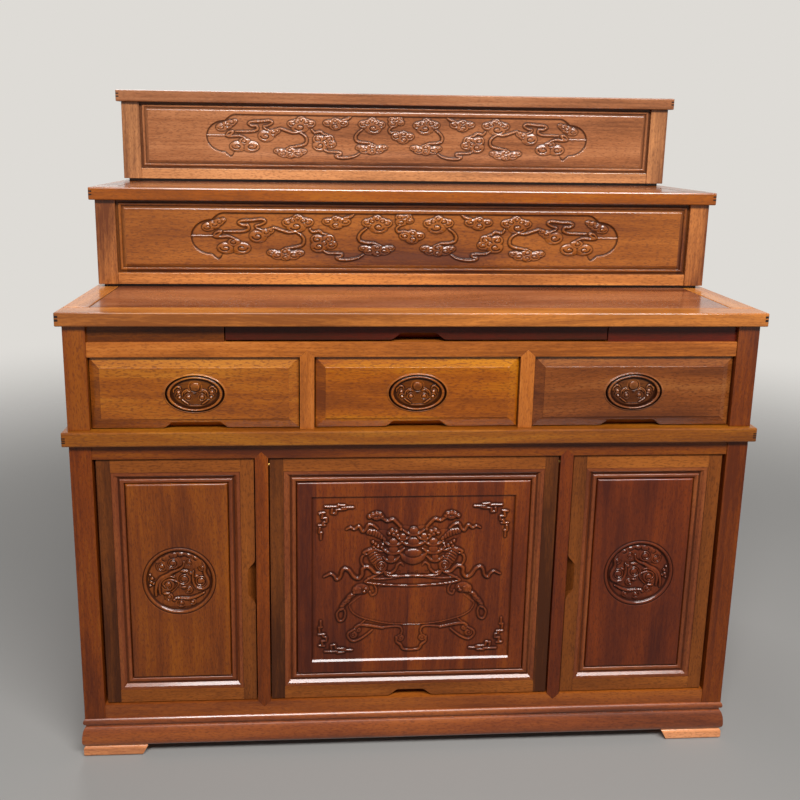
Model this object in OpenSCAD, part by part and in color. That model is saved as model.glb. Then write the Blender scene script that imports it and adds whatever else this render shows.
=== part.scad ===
// Altar cabinet in reddish hardwood, with two raised shelf steps standing on its table top.
// Origin at the middle of the footprint on the floor, +Z up, the front looks along -Y.
// All sizes are in millimetres.

/* [Overall] */
// Width of the table top
table_w = 1270; // [1180:5:1400]
// Depth of the table top
table_d = 680; // [640:5:760]
// How far the table top and the shelves stand out past the posts
top_overhang = 10; // [6:1:16]
// Width of the square posts
post_w = 39; // [34:1:44]
// How far rails lie behind the faces of the posts
rail_setback = 2; // [1:0.5:4]
// Hairline at the shoulder of a joint between two members
joint_line = 0.1; // [0.05:0.05:0.2]

/* [Base] */
// Height of the feet
foot_h = 22; // [16:1:30]
// Length of a foot along its top edge
foot_len = 122; // [100:2:140]
// How much shorter a foot is along the floor than along its top edge
foot_slope = 12; // [6:1:18]
// Radius of the rounded outer edges of a foot
foot_round = 6; // [3:1:8]
// How far the feet stand out past the posts
foot_out = 4; // [2:1:5]
// Height of the base moulding
base_h = 58; // [54:1:70]
// Depth of the base moulding behind the faces of the posts
base_d = 44; // [40:1:60]
// Half the height of the bead along the top of the base moulding
bead_r = 7; // [5:0.5:8]
// How far the bead stands out past the posts
bead_out = 3; // [1:0.5:4]
// Height of the hollow below the bead
cove_h = 4; // [2:0.5:6]
// How far the hollow lies behind the faces of the posts
cove_in = 1.5; // [0.5:0.5:3]
// Height of the widest line of the large round member above its foot
torus_mid = 12; // [8:1:16]
// How far the large round member stands out past the posts
torus_out = 6; // [4:0.5:8]

/* [Cupboards] */
// Height of the bottom rail
bottom_rail_h = 27; // [22:1:34]
// Height of the door openings
door_opening_h = 498; // [440:2:560]
// Height of the top rail
top_rail_h = 28; // [22:1:34]
// Width of the middle opening
middle_opening_w = 542; // [480:2:580]
// Width of the upright dividers between the doors
divider_w = 24; // [20:1:30]
// Thickness of the inner partitions
partition_t = 18; // [12:1:20]
// Thickness of the bottom board
bottom_board_t = 18; // [12:1:20]
// Thickness of the side and rear panels
panel_t = 12; // [8:1:16]
// How far the side and rear panels lie behind the faces of the posts
panel_setback = 9; // [6:1:14]

/* [Doors] */
// Thickness of the doors
door_t = 22; // [20:1:26]
// How far the doors lie behind the faces of the rails
door_setback = 4; // [2:1:7]
// Gap round a door, apart from its hinge side
door_gap = 2.5; // [2:0.5:4]
// Gap along the hinge side of a side door
hinge_gap = 5; // [4.5:0.5:7]
// Width of the flat stiles and rails of a door
stile_w = 25; // [22:1:30]
// Width of the moulding between the stiles and the field
moulding_w = 24; // [20:1:30]
// Depth of the field below the face of a door
field_depth = 8; // [7:0.5:10]
// Thickness of a door panel
field_t = 10; // [8:0.5:10]
// Radius of the round carved dish on a side door
dish_r = 64; // [50:1:72]
// Depth of the carved dishes
dish_depth = 3; // [2:0.5:4]
// Height of the middle of the round dish above the middle of the door
dish_rise = 6; // [0:1:20]
// Margin from the edge of the middle field to its sunk square
sunk_margin = 27; // [20:1:40]
// Depth of the sunk square
sunk_depth = 3; // [2:0.5:4]
// Radius of the hinge pins
pin_r = 3; // [2.5:0.1:3.5]
// Length of a hinge pin inside the door
pin_in_door = 14; // [10:1:18]
// Length of a hinge pin inside the rail or divider
pin_in_frame = 12; // [8:1:16]
// Distance from the hinge edge of a door to the middle of its pin
pin_edge = 14; // [13:0.5:16]
// Distance from the face of a door to the middle of its pin
pin_face = 7.5; // [6.5:0.5:8]
// Running clearance round a hinge pin
pin_play = 0.05; // [0.02:0.01:0.08]
// Clearance of a hinge pin in the rail or divider that holds it
pin_seat = 0.02; // [0.01:0.01:0.05]
// Height and reach of the small stops behind the doors
stop_h = 16; // [10:1:24]
// Length of the stops behind the doors
stop_l = 60; // [30:5:90]

/* [Finger notches] */
// Length of the notch in the edge of a side door
side_notch_l = 93; // [80:1:110]
// Depth of the notch in the edge of a side door
side_notch_h = 14; // [10:1:18]
// Length of the notch under the middle door
middle_notch_l = 92; // [80:1:110]
// Height of the notch under the middle door
middle_notch_h = 13; // [10:1:16]
// Length of the notch under a drawer front
drawer_notch_l = 120; // [90:1:140]
// Height of the notch under a drawer front
drawer_notch_h = 14; // [10:1:18]
// Length of the notch under the pull-out board
board_notch_l = 102; // [90:1:120]
// Height of the notch under the pull-out board
board_notch_h = 13; // [10:1:15]
// Length that the curve takes at each end of a notch
notch_curve = 24; // [16:1:28]

/* [Waist] */
// Thickness of the waist board
waist_t = 27; // [22:1:32]
// How far the waist board stands out past the posts
waist_overhang = 10; // [6:1:14]
// Thickness of the dust panel inside the waist frame
dust_t = 15; // [10:1:20]

/* [Drawers] */
// Height of the drawer openings
drawer_opening_h = 135; // [120:1:160]
// Width of the dividers between the drawers
drawer_divider_w = 26; // [22:1:32]
// Height of the rail above the drawers
drawer_rail_h = 27; // [22:1:34]
// Gap round a drawer front
drawer_gap = 2; // [1.5:0.5:3]
// How far the drawer fronts lie behind the rails
drawer_setback = 1; // [0.5:0.5:3]
// Thickness of a drawer front
drawer_front_t = 22; // [20:1:26]
// Width of the bevel round a drawer front
bevel_w = 18; // [14:1:22]
// Drop of the bevel from the field to the edge
bevel_drop = 5; // [3:0.5:6]
// Lift of the field above the top of the bevel
field_lift = 1; // [0.5:0.5:2]
// Length of the drawer box behind its front
drawer_box_l = 470; // [400:10:520]
// Thickness of the drawer sides
drawer_side_t = 12; // [10:1:15]
// Thickness of the drawer bottom
drawer_bottom_t = 8; // [5:1:10]
// Height of the drawer sides
drawer_side_h = 106; // [90:1:112]
// Clearance between a drawer box and its guides
drawer_play = 3; // [1:0.5:5]
// Height of the guide strips beside the outer drawers
guide_strip_h = 35; // [20:5:60]
// Length of the oval frame on a drawer front
oval_l = 106; // [90:1:120]
// Height of the oval frame on a drawer front
oval_h = 71; // [60:1:80]
// Width of the oval rim
oval_rim = 6; // [4:0.5:8]
// Height of the oval rim above the field
oval_lift = 1.2; // [0.6:0.2:1.6]

/* [Pull-out board] */
// Height of the slot below the table top
slot_h = 31; // [28:1:36]
// Width of the fixed strip at each end of the slot
filler_w = 240; // [200:5:300]
// Thickness of the fixed strips
filler_t = 20; // [14:1:28]
// How far the strips and the pull-out board lie behind the rails
slot_setback = 5; // [3:1:8]
// Height of the front edge of the pull-out board
lip_h = 24; // [22:1:26]
// Thickness of the front edge of the pull-out board, front to back
lip_t = 24; // [20:1:28]
// Gap round the pull-out board
lip_gap = 2; // [1:0.5:3]
// Thickness of the pull-out board behind its front edge
board_t = 18; // [14:1:20]
// Length of the pull-out board, front to back
board_l = 420; // [360:10:460]

/* [Table top and shelves] */
// Thickness of the table top and of the shelves
top_t = 25; // [20:1:30]
// Width of the front and rear rails of a top
top_rail_w = 48; // [42:1:56]
// Width of the end boards of a top
top_end_w = 47; // [42:1:56]
// Width of the groove beside the end boards
groove_w = 2; // [1:0.5:3]
// Depth of the groove beside the end boards
groove_depth = 4; // [2:0.5:6]

/* [Steps] */
// Distance from the front of the table top to the front of the lower shelf
lower_step_back = 235; // [200:5:260]
// Distance from the front of the table top to the front of the upper shelf
upper_step_back = 475; // [430:5:490]
// Height of the posts of a step
step_h = 170; // [150:1:200]
// Height of the dark strips that a step stands on
pad_h = 6; // [3:1:10]
// How far the dark strips lie behind the faces of the posts
pad_inset = 9; // [5:1:14]
// Width of the dark strips
pad_w = 24; // [16:1:30]
// Height of the front rail of a step
step_rail_h = 23; // [18:1:30]
// Thickness of the front panel of a step
step_panel_t = 16; // [14:1:20]
// Width of the moulded border round the front panel
border_w = 18; // [14:1:22]
// Width of the groove along the outside of the border
border_groove = 5; // [3:0.5:6]
// Radius of the bead in the border
border_bead_r = 3; // [2:0.25:3]
// Width of the slope from the inner groove up to the field
border_slope = 4; // [2:0.5:5]
// Depth of the border's grooves below its bead
border_drop = 3; // [2:0.5:4]
// Depth of the field below the bead
border_field = 1; // [0.5:0.5:1.5]

/* [Hidden] */
// Circles of pins and dishes are true circles at this count
$fn = 64;
// Points on the rounded edge of a profile
arc_steps = 8;
// Points on the curve at each end of a finger notch
notch_steps = 8;
// Points round an oval
oval_steps = 64;
// Small sideways clearance between pieces of different bodies that slide on each other
run_gap = 0.3;
// A cut runs this far past the faces it leaves
cut = 1;

// Half sizes of the plan
half_w = table_w / 2;
half_d = table_d / 2;
post_x = half_w - top_overhang;
post_y = half_d - top_overhang;
in_x = post_x - post_w;
in_y = post_y - post_w;
rail_d = post_w - rail_setback;
waist_x = post_x + waist_overhang;
waist_y = post_y + waist_overhang;
// The front faces, from the posts inwards
post_face_y = -post_y;
rail_face_y = post_face_y + rail_setback;
door_face_y = rail_face_y + door_setback;
rail_rear_y = rail_face_y + rail_d;
rear_panel_y = post_y - panel_setback - panel_t;
// Heights, from the floor up
base_z = foot_h;
carcass_z = base_z + base_h;
opening_z = carcass_z + bottom_rail_h;
top_rail_z = opening_z + door_opening_h;
waist_z = top_rail_z + top_rail_h;
drawer_z = waist_z + waist_t;
drawer_rail_z = drawer_z + drawer_opening_h;
slot_z = drawer_rail_z + drawer_rail_h;
table_z = slot_z + slot_h;
table_top_z = table_z + top_t;
lower_step_z = table_top_z + pad_h;
lower_shelf_z = lower_step_z + step_h;
upper_step_z = lower_shelf_z + top_t + pad_h;
upper_shelf_z = upper_step_z + step_h;
// Cupboards
middle_half = middle_opening_w / 2;
divider_x = middle_half + divider_w / 2;
side_opening_w = in_x - middle_half - divider_w;
side_door_w = side_opening_w - hinge_gap - door_gap;
side_door_h = door_opening_h - 2 * door_gap;
side_door_x = middle_half + divider_w + door_gap + side_door_w / 2;
middle_door_w = middle_opening_w - 2 * door_gap;
door_mid_z = opening_z + door_opening_h / 2;
frame_edge = stile_w + moulding_w;
side_pin_x = in_x - hinge_gap - pin_edge;
pin_y = door_face_y + pin_face;
middle_pin_z = opening_z + door_opening_h - door_gap - pin_edge;
// Drawers
drawer_opening_w = (2 * in_x - 2 * drawer_divider_w) / 3;
drawer_pitch = drawer_opening_w + drawer_divider_w;
drawer_front_w = drawer_opening_w - 2 * drawer_gap;
drawer_front_h = drawer_opening_h - 2 * drawer_gap;
drawer_face_y = rail_face_y + drawer_setback;
drawer_box_w = drawer_opening_w - 2 * drawer_play;
drawer_box_y = drawer_face_y + drawer_front_t;
// Pull-out board
slot_face_y = rail_face_y + slot_setback;
lip_w = 2 * (in_x - filler_w - lip_gap);
lip_z = slot_z + (slot_h - lip_h) / 2;
board_z = lip_z + (lip_h - board_t) / 2;

// A box from its low corner to its high corner
module block(low, high) {
  translate(low) cube(high - low);
}

// Both this shape and its mirror image across the middle plane
module both_sides() {
  children();
  mirror([1, 0, 0]) children();
}

// A profile of [y, z] points drawn out along +X
module along_x(length) {
  rotate([90, 0, 90]) linear_extrude(length) children();
}

// A profile of [x, z] points drawn out from y0 to y1
module along_y(y0, y1) {
  translate([0, y1, 0]) rotate([90, 0, 0]) linear_extrude(y1 - y0) children();
}

// Points of an arc, from angle a0 to a1
function arc(cx, cy, rx, ry, a0, a1, steps) =
  [for (i = [0:steps]) let (a = a0 + (a1 - a0) * i / steps) [cx + rx * cos(a), cy + ry * sin(a)]];

// Outline of a finger notch on its edge line: a flat arch that eases into the edge at both ends
function notch_points(length, height) = concat(
  [for (i = [0:notch_steps]) let (t = i / notch_steps)
    [-length / 2 + notch_curve * t, height * (1 - cos(180 * t)) / 2]],
  [for (i = [0:notch_steps]) let (t = 1 - i / notch_steps)
    [length / 2 - notch_curve * t, height * (1 - cos(180 * t)) / 2]]);

// The cut of a finger notch, its edge line along X at z = 0 and its face at y = 0.
// A scooped notch slopes back to the edge over the given depth, a through one has depth 0.
module finger_cut(length, height, thickness, scoop) {
  intersection() {
    along_y(-cut, thickness + cut) polygon(concat(
      [[-length / 2, -cut]], notch_points(length, height), [[length / 2, -cut]]));
    if (scoop > 0)
      translate([-length, 0, 0]) along_x(2 * length) polygon([[-cut, -2 * cut],
        [-cut, height * (1 + cut / scoop)], [scoop * (1 + cut / height), -cut],
        [scoop * (1 + cut / height), -2 * cut]]);
  }
}

// One side of a mitred frame that goes round a rectangle centred on the origin in the XZ plane.
// The children are its profile: y is the depth, z is the distance inwards from the outer edge.
module mitred_side(turn, length, half, width, thickness) {
  rotate([0, turn, 0]) translate([-length / 2, 0, -half]) intersection() {
    along_x(length) children();
    along_y(-thickness, 2 * thickness)
      polygon([[0, 0], [length, 0], [length - width, width], [width, width]]);
  }
}

// Outer outline of the base: [distance past the post faces, height above the moulding's foot]
function base_profile() = let (torus_top = base_h - 2 * bead_r - cove_h)
  concat(
    [[-base_d, base_h]],
    arc(-cove_in, base_h - bead_r, bead_out + cove_in, bead_r, 90, -90, arc_steps),
    arc(-cove_in, torus_mid, torus_out + cove_in, torus_top - torus_mid, 90, 0, arc_steps),
    arc(-cove_in, torus_mid, torus_out + cove_in, torus_mid, -10, -60, arc_steps),
    [[0, 0], [-base_d, 0]]);

// Side view of a foot, the same from both sides of its corner: a rounded nose and a sloped inner end
function foot_outline() = concat(
  [[foot_len, foot_h], [foot_len - foot_slope, 0]],
  arc(foot_round, foot_round, foot_round, foot_round, 270, 190, arc_steps),
  arc(foot_round, foot_h - foot_round, foot_round, foot_round, 180, 90, arc_steps));

// The foot below the left front post
module corner_foot() {
  translate([-post_x - foot_out, -post_y - foot_out, 0]) intersection() {
    along_y(0, foot_len) polygon(foot_outline());
    along_x(foot_len) polygon(foot_outline());
  }
}

module feet() {
  color("#a8653a") both_sides() {
    corner_foot();
    mirror([0, 1, 0]) corner_foot();
  }
}

// A base moulding along one side of a rectangle of the given length, at the given distance out
module base_run(turn, length, out) {
  color("#8c4a2b") rotate([0, 0, turn]) intersection() {
    translate([-length / 2 - 2 * torus_out, 0, base_z]) along_x(length + 4 * torus_out)
      polygon([for (p = base_profile()) [-out - p[0], p[1]]]);
    translate([0, 0, base_z - cut]) linear_extrude(base_h + 2 * cut) polygon([
      [-length / 2 - 2 * torus_out, -out - 2 * torus_out], [length / 2 + 2 * torus_out, -out - 2 * torus_out],
      [length / 2 - base_d, -out + base_d], [-length / 2 + base_d, -out + base_d]]);
  }
}

module base_front() {
  base_run(0, 2 * post_x, post_y);
}

module base_sides() {
  base_run(90, 2 * post_y, post_x);
  base_run(-90, 2 * post_y, post_x);
}

module base_rear() {
  base_run(180, 2 * post_x, post_y);
}

module bottom_board() {
  color("#9c6239")
    block([-in_x, rail_rear_y, carcass_z], [in_x, rear_panel_y, carcass_z + bottom_board_t]);
}

// A post at a corner of the plan, from z0 to z1
module post_at(x, y, z0, z1) {
  translate([x * (post_x - post_w / 2) - post_w / 2, y * (post_y - post_w / 2) - post_w / 2, z0])
    cube([post_w, post_w, z1 - z0]);
}

module post_left() {
  color("#96552f") post_at(-1, -1, carcass_z, waist_z);
}

module post_right() {
  color("#96552f") post_at(1, -1, carcass_z, waist_z);
}

module posts_rear() {
  color("#96552f") for (x = [-1, 1]) post_at(x, 1, carcass_z, waist_z);
}

// Pointed outline of an upright divider from z0 to z1, its points reaching past by half its width
module pointed(width, z0, z1, low_point, high_point) {
  polygon([[-width / 2, z0], [0, z0 - low_point], [width / 2, z0],
    [width / 2, z1], [0, z1 + high_point], [-width / 2, z1]]);
}

// Upright outline of a divider between the doors
module divider_outline() {
  pointed(divider_w, opening_z, top_rail_z, divider_w / 2, divider_w / 2);
}

// Holes for the pins of the side doors, through a rail
module side_pin_holes(z0, z1) {
  both_sides() translate([side_pin_x, pin_y, z0]) cylinder(r = pin_r + pin_seat, h = z1 - z0);
}

module rail_bottom() {
  color("#a0602f") difference() {
    block([-in_x, rail_face_y, carcass_z], [in_x, rail_rear_y, opening_z]);
    both_sides() translate([divider_x, 0, 0]) along_y(rail_face_y - cut, rail_rear_y + cut) divider_outline();
    side_pin_holes(opening_z - pin_in_frame, opening_z + cut);
  }
}

module rail_top() {
  color("#a0602f") difference() {
    block([-in_x, rail_face_y, top_rail_z], [in_x, rail_rear_y, waist_z]);
    both_sides() translate([divider_x, 0, 0]) along_y(rail_face_y - cut, rail_rear_y + cut) divider_outline();
    side_pin_holes(top_rail_z - cut, top_rail_z + pin_in_frame);
  }
}

// A divider with the hole for the pin of the middle door in its inner side
module divider() {
  color("#99592f") difference() {
    translate([divider_x, 0, 0]) along_y(rail_face_y, rail_rear_y) divider_outline();
    translate([middle_half - cut, pin_y, middle_pin_z]) rotate([0, 90, 0])
      cylinder(r = pin_r + pin_seat, h = pin_in_frame + cut);
  }
}

module divider_left() {
  mirror([1, 0, 0]) divider();
}

module divider_right() {
  divider();
}

// The side of the lower cabinet: two rails and a panel between the posts
module side_wall() {
  color("#8f5230") {
    block([in_x, -in_y, carcass_z], [post_x - rail_setback, in_y, opening_z]);
    block([in_x, -in_y, top_rail_z], [post_x - rail_setback, in_y, waist_z]);
    block([post_x - panel_setback - panel_t, -in_y, opening_z + joint_line],
      [post_x - panel_setback, in_y, top_rail_z - joint_line]);
  }
}

module side_left() {
  mirror([1, 0, 0]) side_wall();
}

module side_right() {
  side_wall();
}

module rear_panel() {
  color("#8a5533") block([-in_x, rear_panel_y, carcass_z], [in_x, rear_panel_y + panel_t, waist_z]);
}

module partitions() {
  color("#9c6239") both_sides() block([divider_x - partition_t / 2, rail_rear_y, carcass_z + bottom_board_t],
    [divider_x + partition_t / 2, rear_panel_y, waist_z]);
}

// Small blocks that a closed door comes to rest against
module door_stops() {
  stop_y = door_face_y + door_t + run_gap;
  color("#7d4a2b") both_sides() {
    block([middle_half + divider_w, stop_y, top_rail_z - stop_h],
      [middle_half + divider_w + stop_l, rail_rear_y, top_rail_z]);
    block([middle_half - stop_h, stop_y, opening_z], [middle_half, rail_rear_y, opening_z + stop_l]);
  }
}

module hinge_pins() {
  color("#b09455") both_sides() {
    translate([side_pin_x, pin_y, opening_z - pin_in_frame])
      cylinder(r = pin_r, h = pin_in_frame + door_gap + pin_in_door);
    translate([side_pin_x, pin_y, top_rail_z - door_gap - pin_in_door])
      cylinder(r = pin_r, h = pin_in_frame + door_gap + pin_in_door);
    translate([middle_half - door_gap - pin_in_door, pin_y, middle_pin_z]) rotate([0, 90, 0])
      cylinder(r = pin_r, h = pin_in_frame + door_gap + pin_in_door);
  }
}

// The rails of a board frame, which is a top of width 2 * hx from y0 to y1
module frame_front(hx, y0, z0, t) {
  block([-hx, y0, z0], [hx, y0 + top_rail_w, z0 + t]);
}

module frame_rear(hx, y1, z0, t) {
  block([-hx, y1 - top_rail_w, z0], [hx, y1, z0 + t]);
}

module frame_ends(hx, y0, y1, z0, t) {
  both_sides() block([hx - top_end_w, y0 + top_rail_w + joint_line, z0],
    [hx, y1 - top_rail_w - joint_line, z0 + t]);
}

// The panel of a top, cut back along both ends so that a groove is left beside the end boards
module frame_panel(hx, y0, y1, z0, t) {
  edge = hx - top_end_w;
  difference() {
    block([-edge, y0 + top_rail_w, z0], [edge, y1 - top_rail_w, z0 + t]);
    both_sides() block([edge - groove_w, y0, z0 + t - groove_depth], [edge + cut, y1, z0 + t + cut]);
  }
}

module waist_front() {
  color("#a5662f") frame_front(waist_x, -waist_y, waist_z, waist_t);
}

module waist_ends() {
  color("#a5662f") frame_ends(waist_x, -waist_y, waist_y, waist_z, waist_t);
}

module waist_rear() {
  color("#a5662f") frame_rear(waist_x, waist_y, waist_z, waist_t);
}

module waist_panel() {
  color("#9c6239") block([-waist_x + top_end_w, -waist_y + top_rail_w, drawer_z - dust_t],
    [waist_x - top_end_w, waist_y - top_rail_w, drawer_z]);
}

module case_posts() {
  color("#a05c33") for (x = [-1, 1], y = [-1, 1]) post_at(x, y, drawer_z, table_z);
}

// Upright outline of a divider between the drawers
module drawer_divider_outline() {
  pointed(drawer_divider_w, drawer_z, drawer_rail_z, 0, drawer_divider_w / 2);
}

module drawer_rail() {
  color("#ad6a38") difference() {
    block([-in_x, rail_face_y, drawer_rail_z], [in_x, rail_rear_y, slot_z]);
    both_sides() translate([drawer_pitch / 2, 0, 0])
      along_y(rail_face_y - cut, rail_rear_y + cut) drawer_divider_outline();
  }
}

module drawer_divider() {
  color("#a5622f") translate([drawer_pitch / 2, 0, 0])
    along_y(rail_face_y, rail_rear_y) drawer_divider_outline();
}

module drawer_divider_left() {
  mirror([1, 0, 0]) drawer_divider();
}

module drawer_divider_right() {
  drawer_divider();
}

// The fixed strip beside the pull-out board
module filler() {
  color("#84502f") block([in_x - filler_w, slot_face_y, slot_z], [in_x, slot_face_y + filler_t, table_z]);
}

module filler_left() {
  mirror([1, 0, 0]) filler();
}

module filler_right() {
  filler();
}

module case_sides() {
  color("#8f5230") both_sides()
    block([post_x - panel_setback - panel_t, -in_y, drawer_z], [post_x - panel_setback, in_y, table_z]);
}

module case_rear() {
  color("#8a5533") block([-in_x, rear_panel_y, drawer_z], [in_x, rear_panel_y + panel_t, table_z]);
}

// Upright guides between the drawers, which also carry the pull-out board, and strips beside
// the outer drawers
module drawer_guides() {
  color("#9c6239") both_sides() {
    block([drawer_pitch / 2 - drawer_divider_w / 2, rail_rear_y, drawer_z],
      [drawer_pitch / 2 + drawer_divider_w / 2, rear_panel_y, board_z - run_gap]);
    block([in_x, -in_y, drawer_z], [post_x - panel_setback - panel_t, in_y, drawer_z + guide_strip_h]);
  }
}

module table_front() {
  color("#b06c3a") frame_front(half_w, -half_d, table_z, top_t);
}

module table_rear() {
  color("#a4552f") frame_rear(half_w, half_d, table_z, top_t);
}

module table_ends() {
  color("#a9603a") frame_ends(half_w, -half_d, half_d, table_z, top_t);
}

module table_panel() {
  color("#99492c") frame_panel(half_w, -half_d, half_d, table_z, top_t);
}

// Dark strips that lift a step off the top below it, the step's front edge lying back by the given distance
module step_pads(back, z0) {
  x1 = post_x - pad_inset;
  y0 = -post_y + back + pad_inset;
  y1 = post_y - pad_inset;
  color("#2a1a14") {
    block([-x1, y0, z0], [x1, y0 + pad_w, z0 + pad_h]);
    block([-x1, y1 - pad_w, z0], [x1, y1, z0 + pad_h]);
    both_sides() block([x1 - pad_w, y0 + pad_w + joint_line, z0],
      [x1, y1 - pad_w - joint_line, z0 + pad_h]);
  }
}

// The four posts of a step and the rails between them along the bottom
module step_frame(back, z0) {
  y0 = -post_y + back;
  color("#96592f") {
    both_sides() {
      block([in_x, y0, z0], [post_x, y0 + post_w, z0 + step_h]);
      block([in_x, in_y, z0], [post_x, post_y, z0 + step_h]);
      block([in_x, y0 + post_w + joint_line, z0],
        [post_x - rail_setback, in_y - joint_line, z0 + step_rail_h]);
    }
    block([-in_x + joint_line, y0 + rail_setback, z0], [in_x - joint_line, y0 + post_w, z0 + step_rail_h]);
  }
}

// Profile of the moulded border of a step's front, [depth, distance inwards]: a groove, a bead,
// a second groove and a slope up to the field
function border_profile() = concat(
  [[border_drop, 0]],
  arc(border_drop, border_groove + border_bead_r, border_drop, border_bead_r, -90, -270, arc_steps),
  [[border_drop, border_w - border_slope], [border_field, border_w], [step_panel_t, border_w],
    [step_panel_t, 0]]);

// The front panel of a step: a mitred moulded border round a flat field
module step_front(back, z0) {
  h = step_h - step_rail_h;
  y0 = -post_y + back + rail_setback;
  color("#a8683a") translate([0, y0, z0 + step_rail_h + h / 2]) {
    for (side = [[0, 2 * in_x, h / 2], [180, 2 * in_x, h / 2], [90, h, in_x], [-90, h, in_x]])
      mitred_side(side[0], side[1], side[2], border_w, step_panel_t) polygon(border_profile());
    block([-in_x + border_w, border_field, -h / 2 + border_w],
      [in_x - border_w, step_panel_t, h / 2 - border_w]);
  }
}

// The side and rear panels of a step
module step_panels(back, z0) {
  y0 = -post_y + back + post_w;
  color("#8f5230") {
    both_sides() block([post_x - panel_setback - panel_t, y0, z0 + step_rail_h],
      [post_x - panel_setback, in_y, z0 + step_h]);
    block([-in_x, rear_panel_y, z0], [in_x, rear_panel_y + panel_t, z0 + step_h]);
  }
}

module shelf_frame(back, z0) {
  color("#a8623a") {
    frame_front(half_w, -half_d + back, z0, top_t);
    frame_rear(half_w, half_d, z0, top_t);
    frame_ends(half_w, -half_d + back, half_d, z0, top_t);
  }
}

module shelf_panel(back, z0) {
  color("#99492c") frame_panel(half_w, -half_d + back, half_d, z0, top_t);
}

module lower_step_pads() { step_pads(lower_step_back, table_top_z); }
module lower_step_frame() { step_frame(lower_step_back, lower_step_z); }
module lower_step_front() { step_front(lower_step_back, lower_step_z); }
module lower_step_panels() { step_panels(lower_step_back, lower_step_z); }
module lower_shelf_frame() { shelf_frame(lower_step_back, lower_shelf_z); }
module lower_shelf_panel() { shelf_panel(lower_step_back, lower_shelf_z); }
module upper_step_pads() { step_pads(upper_step_back, lower_shelf_z + top_t); }
module upper_step_frame() { step_frame(upper_step_back, upper_step_z); }
module upper_step_front() { step_front(upper_step_back, upper_step_z); }
module upper_step_panels() { step_panels(upper_step_back, upper_step_z); }
module upper_shelf_frame() { shelf_frame(upper_step_back, upper_shelf_z); }
module upper_shelf_panel() { shelf_panel(upper_step_back, upper_shelf_z); }

// Points of an ellipse
function ellipse(rx, ry) =
  [for (i = [0:oval_steps - 1]) let (a = 360 * i / oval_steps) [rx * cos(a), ry * sin(a)]];

// A drawer front with a bevelled edge, a raised field, an oval rim round a carved dish and a finger notch
module drawer_front(k) {
  w = drawer_front_w;
  h = drawer_front_h;
  edge_y = field_lift + bevel_drop;
  color("#b0713a") translate([k * drawer_pitch, drawer_face_y, drawer_z + drawer_gap]) difference() {
    union() {
      intersection() {
        translate([-w / 2, 0, 0]) along_x(w) polygon([[edge_y, 0], [field_lift, bevel_w],
          [field_lift, h - bevel_w], [edge_y, h], [drawer_front_t, h], [drawer_front_t, 0]]);
        linear_extrude(h) polygon([[-w / 2, edge_y], [-w / 2 + bevel_w, field_lift],
          [w / 2 - bevel_w, field_lift], [w / 2, edge_y], [w / 2, drawer_front_t], [-w / 2, drawer_front_t]]);
      }
      block([-w / 2 + bevel_w, 0, bevel_w], [w / 2 - bevel_w, field_lift + cut, h - bevel_w]);
      translate([0, 0, h / 2]) along_y(-oval_lift, field_lift + cut) polygon(ellipse(oval_l / 2, oval_h / 2));
    }
    translate([0, 0, h / 2]) along_y(-oval_lift - cut, dish_depth)
      polygon(ellipse(oval_l / 2 - oval_rim, oval_h / 2 - oval_rim));
    finger_cut(drawer_notch_l, drawer_notch_h, drawer_front_t, drawer_front_t - field_t / 2);
  }
}

// The sides, rear and bottom of a drawer, behind its front
module drawer_box(k) {
  x1 = drawer_box_w / 2;
  inner_x = x1 - drawer_side_t;
  y1 = drawer_box_y + drawer_box_l;
  z0 = drawer_z + run_gap;
  z1 = z0 + drawer_side_h;
  floor_z = z0 + drawer_bottom_t;
  color("#c49a68") translate([k * drawer_pitch, 0, 0]) {
    both_sides() block([inner_x, drawer_box_y, z0], [x1, y1, z1]);
    block([-inner_x + joint_line, y1 - drawer_side_t, floor_z + joint_line], [inner_x - joint_line, y1, z1]);
    block([-inner_x + joint_line, drawer_box_y, z0], [inner_x - joint_line, y1, floor_z]);
  }
}

module drawer_front_left() { drawer_front(-1); }
module drawer_box_left() { drawer_box(-1); }
module drawer_front_middle() { drawer_front(0); }
module drawer_box_middle() { drawer_box(0); }
module drawer_front_right() { drawer_front(1); }
module drawer_box_right() { drawer_box(1); }

module pull_out_board() {
  color("#7c4a2c") {
    translate([0, slot_face_y, lip_z]) difference() {
      block([-lip_w / 2, 0, 0], [lip_w / 2, lip_t, lip_h]);
      finger_cut(board_notch_l, board_notch_h, lip_t, lip_t - field_t / 2);
    }
    block([-lip_w / 2, slot_face_y + lip_t, board_z], [lip_w / 2, slot_face_y + board_l, board_z + board_t]);
  }
}

// Profile of the moulded inner edge of a door frame, from the outer edge of the door inwards
function door_profile() = let (
    a = stile_w,
    m = moulding_w,
    d = field_depth)
  [[0, 0], [0, a], [d * 0.3, a], [d * 0.5, a + m * 0.4], [d * 0.7, a + m * 0.42],
    [d * 0.75, a + m * 0.6], [d * 0.95, a + m * 0.85], [d * 1.15, a + m * 0.88], [d * 1.15, a + m],
    [door_t, a + m], [door_t, 0]];

// One member of a door frame: its flat part and its moulded edge, mitred at the moulding alone.
// The outline is its front view, with x along the member and y inwards from the door's edge.
module door_member(turn, length, half, outline) {
  rotate([0, turn, 0]) translate([-length / 2, 0, -half]) intersection() {
    along_x(length) polygon(door_profile());
    along_y(-cut, door_t + cut) polygon(outline);
  }
}

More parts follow.
